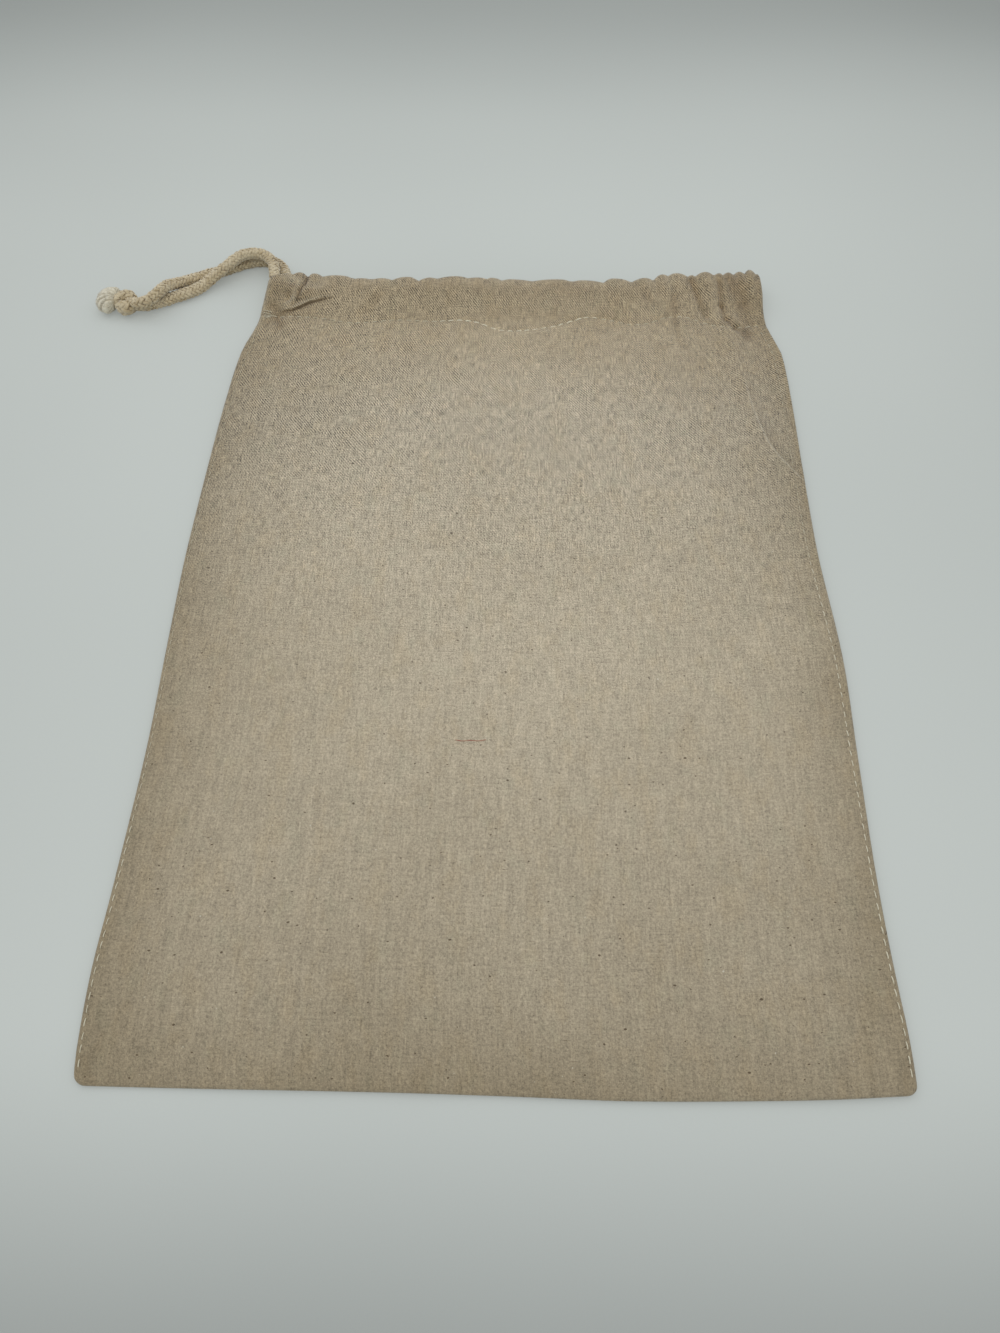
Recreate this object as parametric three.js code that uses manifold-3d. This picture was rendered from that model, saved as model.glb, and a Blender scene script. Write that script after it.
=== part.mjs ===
// A flat drawstring dust bag, empty, lying face up with its bottom fold towards -Y and its mouth towards +Y.
// Millimetres, +Z up. The tables measure y from the bottom fold; the finished group is moved by half the
// bag's length, so that its origin lies under the middle of the bag, on the surface that it rests on.
//
// The cloth is one length folded at the bottom. From the surface up it has a back ply, the pocket and a front
// ply. In the casing each ply is doubled by its hem, and the drawstring runs between a ply and its hem.
import * as THREE from 'three';
import { mergeVertices } from 'three/addons/utils/BufferGeometryUtils.js';
import Module from 'manifold-3d';

const wasm = await Module();
wasm.setup();

// ---- Driving sizes ----
const BAG_LENGTH = 355;       // bottom fold to the middle of the wavy top edge
const PLY = 1.0;              // one thickness of cloth
const POCKET_GAP = 0.6;       // space between the two plies of the empty pocket
const PLAY = 0.3;             // clearance between pieces, and between a ply and its hem
const SEAM_WIDTH = 4.5;       // the two plies are one from a side edge to its seam
const SEAM_LIFT = 0.5;        // the seam allowance inside makes the sides a little thicker
const SEAM_RAMP = 2;          // and that falls away over this distance
const CORD_DIAMETER = 5.0;
const CORD_SIDES = 8;
const TURN_WEIGHT = 25;       // mm of straight cord that a step of one radian of bend counts for
const EFFORT_STEPS = 300;

// ---- Outline ----
// Half of the bag to each side of its centre line, at a distance y up from the bottom fold.
const SIDES = [
  { y: 0, left: 124.6, right: 125.6 },
  { y: 6, left: 126.2, right: 125.9 },
  { y: 15, left: 127.0, right: 126.0 },
  { y: 32, left: 127.4, right: 125.4 },
  { y: 60, left: 126.2, right: 125.0 },
  { y: 110, left: 124.6, right: 126.2 },
  { y: 150, left: 125.0, right: 127.4 },
  { y: 195, left: 125.2, right: 125.2 },
  { y: 240, left: 123.6, right: 125.2 },
  { y: 280, left: 121.6, right: 125.8 },
  { y: 300, left: 120.0, right: 125.6 },
  { y: 311, left: 118.4, right: 125.0 },
  { y: 319, left: 115.8, right: 122.0 },
  { y: 327, left: 113.4, right: 120.0 },
  { y: 336, left: 112.0, right: 119.2 },
  { y: 346, left: 111.4, right: 119.6 },
  { y: 358, left: 111.4, right: 119.4 },
];

// How far the bottom fold sags below the straight line between its corners.
const BOTTOM_FOLD = [
  { x: -125, sag: 0.0 },
  { x: -85, sag: 0.5 },
  { x: -28, sag: 0.9 },
  { x: 8, sag: 1.5 },
  { x: 45, sag: 2.4 },
  { x: 80, sag: 2.0 },
  { x: 110, sag: 1.1 },
  { x: 126, sag: 0.0 },
];

// The row of stitching that closes the casing wanders a little across the bag.
const CASING_STITCH = [
  { x: -120, y: 330.0 },
  { x: -91, y: 329.9 },
  { x: -72, y: 326.9 },
  { x: -50, y: 328.4 },
  { x: -18, y: 328.8 },
  { x: 3, y: 322.5 },
  { x: 19, y: 324.6 },
  { x: 37, y: 330.4 },
  { x: 57, y: 327.1 },
  { x: 81, y: 332.4 },
  { x: 98, y: 326.9 },
  { x: 120, y: 327.2 },
];

// Gathers along the top edge: how far up each small fold reaches, and how high it lifts off the drawstring.
const GATHERS = [
  { x: -111, reach: 349.4, lift: 0.2 },
  { x: -104, reach: 353.2, lift: 1.2 },
  { x: -97, reach: 354.9, lift: 1.1 },
  { x: -92.5, reach: 352.2, lift: 0.0 },
  { x: -88, reach: 354.0, lift: 0.8 },
  { x: -82, reach: 352.0, lift: 0.2 },
  { x: -76, reach: 353.3, lift: 0.6 },
  { x: -63, reach: 351.9, lift: 0.0 },
  { x: -46, reach: 352.6, lift: 0.4 },
  { x: -28, reach: 353.6, lift: 0.5 },
  { x: -6, reach: 353.2, lift: 0.3 },
  { x: 12, reach: 352.0, lift: 0.0 },
  { x: 28, reach: 352.6, lift: 0.3 },
  { x: 44, reach: 351.8, lift: 0.0 },
  { x: 54, reach: 353.4, lift: 0.4 },
  { x: 62, reach: 354.8, lift: 0.9 },
  { x: 68, reach: 353.0, lift: 0.1 },
  { x: 74, reach: 355.8, lift: 1.0 },
  { x: 80, reach: 356.6, lift: 1.3 },
  { x: 86, reach: 354.6, lift: 0.2 },
  { x: 93, reach: 357.0, lift: 1.3 },
  { x: 97, reach: 355.0, lift: 0.2 },
  { x: 101, reach: 356.8, lift: 1.2 },
  { x: 106, reach: 355.2, lift: 0.3 },
  { x: 110, reach: 357.4, lift: 1.3 },
  { x: 114, reach: 357.0, lift: 0.8 },
  { x: 119, reach: 354.2, lift: 0.0 },
];

// Soft folds of the front ply: each a straight ridge from (x1, y1) to (x2, y2), its height and half width.
const FRONT_FOLDS = [
  { x1: -102, y1: 332, x2: -78, y2: 339, height: 1.3, width: 6 },
  { x1: -110, y1: 318, x2: -103, y2: 330, height: 0.7, width: 5 },
  { x1: 104, y1: 330, x2: 106, y2: 291, height: 0.9, width: 6 },
  { x1: 106, y1: 291, x2: 111, y2: 260, height: 0.8, width: 6 },
  { x1: 111, y1: 260, x2: 123, y2: 237, height: 0.7, width: 6 },
  { x1: -96, y1: 210, x2: -88, y2: 150, height: 0.6, width: 18 },
  { x1: 60, y1: 300, x2: 20, y2: 190, height: 0.5, width: 22 },
];

// ---- The drawstring's centre line, from the knot, through the casing and back to the knot ----
const END_A = [
  [-163.4, 335.2, 8.0], [-161.3, 337.6, 8.5], [-159.6, 340.3, 8.6], [-158.3, 343.2, 8.1],
  [-157.1, 345.8, 7.1], [-155.6, 348.4, 5.8], [-153.4, 351.1, 4.4], [-150.4, 353.9, 3.3],
  [-146.8, 356.1, 2.8], [-142.6, 358.2, 2.8], [-138.4, 360.1, 2.8], [-134.1, 362.3, 2.8],
  [-129.9, 364.5, 2.8], [-125.2, 367.0, 2.8], [-120.5, 368.5, 2.8], [-116.0, 368.9, 2.8],
  [-111.8, 367.7, 2.9], [-108.3, 364.9, 3.2], [-105.8, 361.2, 3.5],
];
const EXIT_A = [-104.2, 357.0, 3.7];
const IN_CASING = [
  [-102.6, 353.4, 3.8], [-99.4, 350.2, 3.8], [-94.6, 348.5, 3.8], [-89.0, 347.9, 3.8],
  [-75.0, 348.2, 3.8], [-45.0, 348.2, 3.8], [-10.0, 348.6, 3.8], [20.0, 348.0, 3.8],
  [50.0, 348.0, 3.8], [80.0, 349.6, 3.8], [96.0, 351.0, 3.8], [105.5, 351.2, 4.2],
  [112.2, 348.4, 4.9], [115.2, 341.8, 5.6], [112.2, 335.0, 6.3], [105.5, 332.2, 6.7],
  [96.0, 333.2, 6.7], [80.0, 337.6, 6.7], [50.0, 339.8, 6.7], [20.0, 340.0, 6.7],
  [-10.0, 340.4, 6.7], [-45.0, 340.2, 6.7], [-75.0, 340.2, 6.7], [-90.0, 340.0, 6.7],
  [-97.6, 341.0, 6.7], [-103.4, 344.4, 6.8], [-106.6, 348.6, 6.9],
];
const EXIT_B = [-108.1, 352.0, 7.1];
const END_B = [
  [-108.9, 356.0, 7.5], [-109.7, 359.9, 7.9], [-111.9, 363.6, 8.2], [-115.3, 366.2, 8.4],
  [-119.4, 367.2, 8.5], [-123.4, 366.4, 8.5], [-126.6, 364.5, 8.4], [-129.6, 361.5, 7.9],
  [-132.8, 358.6, 7.0], [-136.0, 356.0, 5.8], [-139.0, 353.8, 4.5], [-142.0, 351.4, 3.4],
  [-145.8, 348.4, 2.8], [-150.6, 345.3, 2.8], [-155.2, 342.8, 2.8], [-159.6, 340.4, 2.8],
  [-163.8, 338.6, 2.8],
];

// The casing spans the loop of the cord at its right end: a cord drawn here would lift it as much.
const LOOP_SPAN = [[90, 343.2, 4.6], [96, 342.4, 5.4], [102, 341.8, 5.6], [108, 341.8, 5.2]];

// Lobes of the knot: where each turn of the doubled cord bulges, and its half size along x, y and z.
const KNOT_LOBES = [
  { x: -167.2, y: 336.0, z: 5.4, rx: 5.8, ry: 3.6, rz: 4.5 },
  { x: -172.2, y: 336.6, z: 4.8, rx: 3.2, ry: 4.0, rz: 4.1 },
  { x: -176.2, y: 339.9, z: 5.5, rx: 4.0, ry: 3.7, rz: 3.6 },
  { x: -175.9, y: 334.6, z: 4.0, rx: 4.1, ry: 3.8, rz: 3.7 },
  { x: -180.2, y: 337.9, z: 4.3, rx: 2.4, ry: 4.0, rz: 3.9 },
];

// The frayed ends fan out from the knot: half width and half height at each distance past it.
const TUFT_START = [-180.6, 338.5, 4.3];
const TUFT_HEADING = Math.PI - 0.26;
const TUFT_LOCKS = 6;         // bunches of fibre round the tuft
const TUFT_LOCK_DEPTH = 0.09; // how far the grooves between them go in, as a share of its radius
const TUFT_SIDES = 18;
const TUFT_SECTIONS = [
  { out: 0.0, width: 3.4, height: 3.2, drop: 0.0 },
  { out: 2.4, width: 5.2, height: 3.8, drop: 0.1 },
  { out: 5.6, width: 7.0, height: 4.0, drop: 0.2 },
  { out: 8.4, width: 6.4, height: 3.5, drop: 0.7 },
  { out: 10.2, width: 4.0, height: 2.2, drop: 1.3 },
];

// ---- Small helpers ----
const clamp01 = (value) => Math.min(1, Math.max(0, value));
const mix = (a, b, share) => a + (b - a) * share;
const ease = (value) => clamp01(value) ** 2 * (3 - 2 * clamp01(value));

// Reads a column of a table at a place along another column, on straight lines between its rows.
function read(table, key, place, column) {
  const last = table.length - 1;
  if (place <= table[0][key]) return table[0][column];
  if (place >= table[last][key]) return table[last][column];
  const next = table.findIndex((row) => row[key] > place);
  const low = table[next - 1];
  const high = table[next];
  return mix(low[column], high[column], (place - low[key]) / (high[key] - low[key]));
}

const leftEdge = (y) => -read(SIDES, 'y', y, 'left');
const rightEdge = (y) => read(SIDES, 'y', y, 'right');
const bottomEdge = (x) => -read(BOTTOM_FOLD, 'x', x, 'sag');
const stitchLine = (x) => read(CASING_STITCH, 'x', x, 'y');
const topEdge = (x) => read(GATHERS, 'x', x, 'reach');

// ---- Solids ----
function toSolid(geometry) {
  geometry.deleteAttribute('normal');
  geometry.deleteAttribute('uv');
  const merged = mergeVertices(geometry, 1e-4);
  return new wasm.Manifold(new wasm.Mesh({
    numProp: 3,
    vertProperties: new Float32Array(merged.attributes.position.array),
    triVerts: new Uint32Array(merged.index.array),
  }));
}

function toGeometry(solid) {
  const mesh = solid.getMesh();
  const geometry = new THREE.BufferGeometry();
  geometry.setAttribute('position', new THREE.BufferAttribute(new Float32Array(mesh.vertProperties), 3));
  geometry.setIndex(new THREE.BufferAttribute(new Uint32Array(mesh.triVerts), 1));
  return geometry;
}

// A closed sheet over a grid of plan places: low and high give its under and upper face at each place.
function slab(places, low, high) {
  const rows = places.length;
  const columns = places[0].length;
  const count = rows * columns;
  const points = [];
  for (const face of [low, high]) {
    for (let i = 0; i < rows; i += 1) {
      for (let j = 0; j < columns; j += 1) {
        const [x, y] = places[i][j];
        points.push(x, y, face(x, y, i, j));
      }
    }
  }
  const triangles = [];
  const quad = (a, b, c, d) => triangles.push(a, b, c, a, c, d);
  const at = (i, j, face) => face * count + i * columns + j;
  for (let i = 0; i < rows - 1; i += 1) {
    for (let j = 0; j < columns - 1; j += 1) {
      quad(at(i, j, 1), at(i, j + 1, 1), at(i + 1, j + 1, 1), at(i + 1, j, 1));
      quad(at(i, j, 0), at(i + 1, j, 0), at(i + 1, j + 1, 0), at(i, j + 1, 0));
    }
  }
  for (let j = 0; j < columns - 1; j += 1) {
    quad(at(0, j, 0), at(0, j + 1, 0), at(0, j + 1, 1), at(0, j, 1));
    quad(at(rows - 1, j + 1, 0), at(rows - 1, j, 0), at(rows - 1, j, 1), at(rows - 1, j + 1, 1));
  }
  for (let i = 0; i < rows - 1; i += 1) {
    quad(at(i + 1, 0, 0), at(i, 0, 0), at(i, 0, 1), at(i + 1, 0, 1));
    quad(at(i, columns - 1, 0), at(i + 1, columns - 1, 0), at(i + 1, columns - 1, 1), at(i, columns - 1, 1));
  }
  const geometry = new THREE.BufferGeometry();
  geometry.setAttribute('position', new THREE.BufferAttribute(new Float32Array(points), 3));
  geometry.setIndex(triangles);
  return toSolid(geometry);
}

// Part of a longer curve, between two shares of its length. Its steps are short in a bend and long on a
// straight: each covers the same sum of length and of angle turned, times TURN_WEIGHT.
class Stretch extends THREE.Curve {
  constructor(whole, from, to) {
    super();
    this.place = (share) => mix(from, to, share);
    this.whole = whole;
    this.effort = [0];
    const length = (to - from) * whole.getLength();
    for (let k = 1; k <= EFFORT_STEPS; k += 1) {
      const before = whole.getTangentAt(this.place((k - 1) / EFFORT_STEPS));
      const turned = before.angleTo(whole.getTangentAt(this.place(k / EFFORT_STEPS)));
      this.effort.push(this.effort[k - 1] + length / EFFORT_STEPS + turned * TURN_WEIGHT);
    }
  }

  getPoint(share, target = new THREE.Vector3()) {
    return this.whole.getPointAt(this.place(share), target);
  }

  getTangent(share, target = new THREE.Vector3()) {
    return this.whole.getTangentAt(this.place(share), target);
  }

  getUtoTmapping(step) {
    const wanted = step * this.effort[EFFORT_STEPS];
    const next = Math.max(1, this.effort.findIndex((effort) => effort >= wanted));
    const within = (wanted - this.effort[next - 1]) / (this.effort[next] - this.effort[next - 1]);
    return (next - 1 + within) / EFFORT_STEPS;
  }
}

// A round tube along a curve, with flat ends; its flats, not its corners, lie at the radius given.
function tube(curve, radius, steps) {
  const corner = radius / Math.cos(Math.PI / CORD_SIDES);
  const section = new THREE.Shape();
  for (let k = 0; k < CORD_SIDES; k += 1) {
    const angle = ((k + 0.5) / CORD_SIDES) * 2 * Math.PI;
    const point = [corner * Math.cos(angle), corner * Math.sin(angle)];
    if (k === 0) section.moveTo(...point);
    else section.lineTo(...point);
  }
  section.closePath();
  return toSolid(new THREE.ExtrudeGeometry(section, { extrudePath: curve, steps, bevelEnabled: false }));
}

// ---- The drawstring's line, split where it enters and leaves the casing ----
const toPoint = ([x, y, z]) => new THREE.Vector3(x, y, z);
const wholeLine = new THREE.CatmullRomCurve3(
  [...END_A, EXIT_A, ...IN_CASING, EXIT_B, ...END_B].map(toPoint),
  false,
  'centripetal',
);
const LENGTH_STEPS = 20;      // measured steps between one point and the next
wholeLine.arcLengthDivisions = LENGTH_STEPS * (wholeLine.points.length - 1);
const wholeLength = wholeLine.getLength();

// The share of the whole line's length at which it passes one of its own points.
function shareAt(pointIndex) {
  return wholeLine.getLengths()[pointIndex * LENGTH_STEPS] / wholeLength;
}

const exitShareA = shareAt(END_A.length);
const exitShareB = shareAt(END_A.length + IN_CASING.length + 1);
const faceGap = PLAY / 2 / wholeLength;
const endLineA = new Stretch(wholeLine, 2 * faceGap, exitShareA - faceGap);
const casingLine = new Stretch(wholeLine, exitShareA + faceGap, exitShareB - faceGap);
const endLineB = new Stretch(wholeLine, exitShareB + faceGap, 1 - 2 * faceGap);

// ---- How the casing rises over the drawstring ----
const RIDGE_FLAT = 2.2;       // the cloth is level this far to each side of the cord
const RIDGE_FOOT = 7.5;       // and back at its own level this far away
const TURN_START = 104;       // past this the cord turns round the right end of the casing
const COURSE_LEFT = -100;     // and left of this it bends towards its mouth
const SAMPLES = 240;
const casingSamples = Array.from({ length: SAMPLES + 1 }, (unused, k) => casingLine.getPointAt(k / SAMPLES));
const turnIndex = casingSamples.findIndex((point) => point.x > TURN_START);
const backSamples = casingSamples.slice(0, turnIndex + 1);
const frontSamples = casingSamples.slice(turnIndex);
const overSamples = [...frontSamples, ...LOOP_SPAN.map(toPoint)];

// Height of a cover that starts from a level and clears the cord by some distance above its centre.
function cover(samples, x, y, level, above) {
  let height = level;
  for (const point of samples) {
    const distance = Math.hypot(point.x - x, point.y - y);
    if (distance < RIDGE_FOOT) {
      const share = 1 - ease((distance - RIDGE_FLAT) / (RIDGE_FOOT - RIDGE_FLAT));
      height = Math.max(height, mix(level, point.z + above, share));
    }
  }
  return height;
}

// How far up the bag the cord lies at a place across it, past its bends at the two ends.
function courseOf(samples, x) {
  const level = samples.filter((point) => point.x > COURSE_LEFT && point.x < TURN_START + 2);
  return level.reduce((best, point) => (Math.abs(point.x - x) < Math.abs(best.x - x) ? point : best)).y;
}

const CORD_RADIUS = CORD_DIAMETER / 2;
const HEM_RAMP = 4;           // the plies begin to part this far below the stitches of the casing
const casingShare = (x, y) => ease((y - stitchLine(x) + HEM_RAMP) / HEM_RAMP);

// Under face of the pocket, and so the top of the back ply or, in the casing, of its hem.
function pocketFloor(x, y) {
  const share = casingShare(x, y);
  if (share === 0) return PLY;
  const hemUnder = cover(backSamples, x, y, PLY + PLAY, CORD_RADIUS + PLAY);
  return mix(PLY, hemUnder + PLY, share);
}

function foldLift(x, y) {
  let lift = 0;
  for (const { x1, y1, x2, y2, height, width } of FRONT_FOLDS) {
    const lengthSquared = (x2 - x1) ** 2 + (y2 - y1) ** 2;
    const share = clamp01(((x - x1) * (x2 - x1) + (y - y1) * (y2 - y1)) / lengthSquared);
    const distance = Math.hypot(x - mix(x1, x2, share), y - mix(y1, y2, share));
    lift = Math.max(lift, height * (1 - ease(distance / width)));
  }
  return lift;
}

// Upper face of the bag away from its edges.
function frontFace(x, y) {
  const floor = pocketFloor(x, y) + POCKET_GAP;
  const share = casingShare(x, y);
  const fromSide = Math.min(x - leftEdge(y), rightEdge(y) - x);
  const seam = SEAM_LIFT * (1 - ease((fromSide - SEAM_WIDTH) / SEAM_RAMP));
  const body = floor + PLY + seam * (1 - share) + foldLift(x, y);
  if (share === 0) return body;
  const plain = mix(body, floor + PLY + PLAY + PLY, share);
  const ridgeFoot = 4 * PLY + POCKET_GAP + 2 * PLAY;
  const aboveCord = CORD_RADIUS + PLAY + PLY;
  const overCord = cover(overSamples, x, y, ridgeFoot, aboveCord);
  return Math.max(plain, mix(body, overCord, share));
}

// ---- The cloth ----
const CASING_LEFT = GATHERS[0].x;
const CASING_WIDTH = GATHERS.at(-1).x - CASING_LEFT;
const LEAN_START = 50;        // right of this the gathers slant down to the right
const LEAN_FULL = 30;         // over this distance the slant grows to its full size
const GATHER_LEAN = 0.3;      // sideways for each mm down
const LEAN_FREE = 0.9;        // from this share of the width on, it fades towards the side seam
const LEAN_LOW = 290;         // and it fades again below the casing, between these two heights
const LEAN_HIGH = 325;

// Each step in from an edge: how high the under face and the upper face are, as shares of the thickness.
const EDGE_STEPS = [
  { inset: 0, under: 0.28, over: 0.75 },
  { inset: 0.5, under: 0.08, over: 0.9 },
  { inset: 1.4, under: 0, over: 0.98 },
];
const BODY_ROWS = [15, 32, 60, 95, 130, 165, 200, 230, 250, 270, 290, 303, 313];
const BELOW_STITCH = [8, 4, 0];
const HEM_ROW = 1.2;          // the first row of the casing lies this far past its stitches
const FOLD_CURVE_END = 60;    // rows above this no longer follow the sag of the bottom fold
const BETWEEN_ROWS = [0, 1 / 3, 2 / 3, 1];

const insets = [...EDGE_STEPS.map((step) => step.inset), SEAM_WIDTH];
const columns = [
  ...insets.map((inset) => inset / CASING_WIDTH),
  ...GATHERS.slice(1, -1).map((gather) => (gather.x - CASING_LEFT) / CASING_WIDTH),
  ...insets.map((inset) => 1 - inset / CASING_WIDTH).reverse(),
];

// Places up one column, from the bottom fold to the top edge.
function rowsUp(x, top) {
  const bottom = bottomEdge(x);
  const stitch = stitchLine(x);
  const front = courseOf(frontSamples, x);
  const back = courseOf(backSamples, x);
  return [
    ...insets.map((inset) => bottom + inset),
    ...BODY_ROWS.map((row) => row + bottom * (1 - ease(row / FOLD_CURVE_END))),
    ...BELOW_STITCH.map((below) => stitch - below),
    ...BETWEEN_ROWS.map((share) => mix(stitch + HEM_ROW, front - RIDGE_FLAT, share)),
    ...BETWEEN_ROWS.map((share) => mix(front + RIDGE_FLAT, back - RIDGE_FLAT, share)),
    ...insets.map((inset) => top - inset).reverse(),
  ];
}

// Plan places of the cloth's grid, row by row. The columns fan out from the casing to the bottom fold.
function clothPlaces() {
  const upright = columns.map((share) => {
    const station = CASING_LEFT + share * CASING_WIDTH;
    const top = topEdge(station);
    const nearSide = 1 - ease((share - LEAN_FREE) / (1 - LEAN_FREE));
    const lean = GATHER_LEAN * clamp01((station - LEAN_START) / LEAN_FULL) * nearSide;
    return rowsUp(station, top).map((y) => {
      const below = ease((y - LEAN_LOW) / (LEAN_HIGH - LEAN_LOW));
      const slant = lean * Math.min(top - y, top - stitchLine(station)) * below;
      return [mix(leftEdge(y), rightEdge(y), share) + slant, y];
    });
  });
  return upright[0].map((unused, i) => upright.map((column) => column[i]));
}

const outerPlaces = clothPlaces();
const lastRow = outerPlaces.length - 1;
const lastColumn = columns.length - 1;

// The edge step nearest to a grid place, or the last one where the place lies further in.
function edgeStep(i, j) {
  const steps = Math.min(i, j, lastRow - i, lastColumn - j, EDGE_STEPS.length - 1);
  return EDGE_STEPS[steps];
}

function outerHigh(x, y, i, j) {
  const station = CASING_LEFT + columns[j] * CASING_WIDTH;
  const gathered = ease((y - stitchLine(x)) / (topEdge(station) - stitchLine(x)));
  const height = frontFace(x, y) + read(GATHERS, 'x', station, 'lift') * gathered;
  return height * edgeStep(i, j).over;
}

function outerLow(x, y, i, j) {
  return frontFace(x, y) * edgeStep(i, j).under;
}

const outer = slab(outerPlaces, outerLow, outerHigh);

// Plan places of a space inside the cloth, between a left and a right limit, at some places up the bag.
function spacePlaces(heights, left, right, columnCount) {
  return heights.map((height) => Array.from({ length: columnCount }, (unused, j) => {
    const share = j / (columnCount - 1);
    const roughX = mix(left(MOUTH_LEVEL), right(MOUTH_LEVEL), share);
    const y = height(roughX);
    return [mix(left(y), right(y), share), y];
  }));
}

const MOUTH_LEVEL = 340;      // a height in the middle of the casing
const POCKET_RIGHT = 103;     // the mouth ends here, left of the drawstring's turn
const MOUTH_PAST = 6;         // the cutting shape runs this far out of the mouth
const MOUTH_FALL = 1.5;       // past the cord by this much the hem starts to round down to the edge
const MOUTH_EDGE = 1;         // the last row inside the mouth lies this far short of the top edge
const POCKET_COLUMNS = 30;
const POCKET_ROWS = [60, 150, 240, 300];
const BELOW_RIDGE = [RIDGE_FOOT, 5.6, 3.8, RIDGE_FLAT];
const SHORTEN_START = 312;    // the pocket narrows on the right over these heights, towards the casing
const SHORTEN_RUN = 12;
const pocketHeights = [
  (x) => bottomEdge(x) + PLY + POCKET_GAP,
  ...POCKET_ROWS.map((y) => () => y),
  ...BELOW_STITCH.map((below) => (x) => stitchLine(x) - below),
  (x) => stitchLine(x) + HEM_ROW,
  ...BELOW_RIDGE.map((before) => (x) => courseOf(backSamples, x) - before),
  (x) => courseOf(backSamples, x) + MOUTH_FALL,
  (x) => topEdge(x) - MOUTH_EDGE,
  (x) => topEdge(x) + MOUTH_PAST,
];
const pocketShortened = (y) => ease((y - SHORTEN_START) / SHORTEN_RUN);
const pocketLeft = (y) => leftEdge(y) + SEAM_WIDTH;
const pocketRight = (y) => mix(rightEdge(y) - SEAM_WIDTH, POCKET_RIGHT, pocketShortened(y));
const pocket = slab(
  spacePlaces(pocketHeights, pocketLeft, pocketRight, POCKET_COLUMNS),
  (x, y) => pocketFloor(x, y),
  (x, y) => pocketFloor(x, y) + POCKET_GAP,
);

// Each stretch of the drawstring as a tube, and the room that its neighbours leave round it.
const END_STEPS = 14;
const CASING_STEPS = 52;
const MOUTH_OVERLAP = 0.01;   // share of the whole line by which the room at a mouth runs both ways
const MOUTH_STEPS = 2;
const cord = {
  endA: tube(endLineA, CORD_RADIUS, END_STEPS),
  casing: tube(casingLine, CORD_RADIUS, CASING_STEPS),
  endB: tube(endLineB, CORD_RADIUS, END_STEPS),
};
const roomRadius = CORD_RADIUS + PLAY;
const mouthRoom = (share) => tube(
  new Stretch(wholeLine, share - MOUTH_OVERLAP, share + MOUTH_OVERLAP),
  roomRadius,
  MOUTH_STEPS,
);
const room = {
  endA: tube(new Stretch(wholeLine, 0, exitShareA), roomRadius, END_STEPS),
  casing: tube(casingLine, roomRadius, CASING_STEPS),
  endB: tube(new Stretch(wholeLine, exitShareB, 1), roomRadius, END_STEPS),
  mouthA: mouthRoom(exitShareA),
  mouthB: mouthRoom(exitShareB),
};
const cloth = [pocket, ...Object.values(room)].reduce((whole, space) => whole.subtract(space), outer);

// ---- The knot and the frayed ends ----
const LOBE_AROUND = 14;
const LOBE_DOWN = 10;

// The knot's lobes as one solid, each grown by the same amount.
function knotForm(growth) {
  const lobes = KNOT_LOBES.map(({ x, y, z, rx, ry, rz }) => {
    const lobe = new THREE.SphereGeometry(1, LOBE_AROUND, LOBE_DOWN);
    lobe.scale(rx + growth, ry + growth, rz + growth);
    lobe.translate(x, y, z);
    return toSolid(lobe);
  });
  return lobes.reduce((whole, lobe) => whole.add(lobe));
}

const knot = knotForm(0).subtract(room.endA).subtract(room.endB);

// The frayed ends as rings of the sections' sizes, grooved between the bunches, with flat ends.
function tuftForm() {
  const along = [Math.cos(TUFT_HEADING), Math.sin(TUFT_HEADING)];
  const [startX, startY, startZ] = TUFT_START;
  const points = TUFT_SECTIONS.flatMap(({ out, width, height, drop }) => (
    Array.from({ length: TUFT_SIDES }, (unused, k) => {
      const angle = (k / TUFT_SIDES) * 2 * Math.PI;
      const reach = 1 - TUFT_LOCK_DEPTH * (1 - Math.cos(TUFT_LOCKS * angle)) / 2;
      const across = width * reach * Math.cos(angle);
      const x = startX + along[0] * out - along[1] * across;
      const y = startY + along[1] * out + along[0] * across;
      return [x, y, startZ - drop + height * reach * Math.sin(angle)];
    })
  ));
  const last = (TUFT_SECTIONS.length - 1) * TUFT_SIDES;
  const triangles = [];
  for (let k = 0; k < TUFT_SIDES; k += 1) {
    const next = (k + 1) % TUFT_SIDES;
    for (let ring = 0; ring < last; ring += TUFT_SIDES) {
      triangles.push(ring + k, ring + next, ring + TUFT_SIDES + next);
      triangles.push(ring + k, ring + TUFT_SIDES + next, ring + TUFT_SIDES + k);
    }
    if (k > 0 && k < TUFT_SIDES - 1) {
      triangles.push(0, next, k);
      triangles.push(last, last + k, last + next);
    }
  }
  const geometry = new THREE.BufferGeometry();
  geometry.setAttribute('position', new THREE.Float32BufferAttribute(points.flat(), 3));
  geometry.setIndex(triangles);
  return toSolid(geometry);
}

const tuft = tuftForm().subtract(knotForm(PLAY));

// ---- The finished bag ----
const CLOTH_COLOUR = 0xaea68f;
const CORD_COLOUR = 0xc9bc9a;
const TUFT_COLOUR = 0xd6cfb8;
const ROUGHNESS = 0.95;
const pieces = [
  { name: 'bag_cloth', solid: cloth, color: CLOTH_COLOUR },
  { name: 'drawstring_in_casing', solid: cord.casing, color: CORD_COLOUR },
  { name: 'drawstring_end_a', solid: cord.endA, color: CORD_COLOUR },
  { name: 'drawstring_end_b', solid: cord.endB, color: CORD_COLOUR },
  { name: 'drawstring_knot', solid: knot, color: CORD_COLOUR },
  { name: 'drawstring_tuft', solid: tuft, color: TUFT_COLOUR },
];
const bag = new THREE.Group();
for (const { name, solid, color } of pieces) {
  const material = new THREE.MeshStandardMaterial({ color, roughness: ROUGHNESS, metalness: 0 });
  const mesh = new THREE.Mesh(toGeometry(solid), material);
  mesh.name = name;
  bag.add(mesh);
}
bag.position.y = -BAG_LENGTH / 2;

export default bag;
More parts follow.
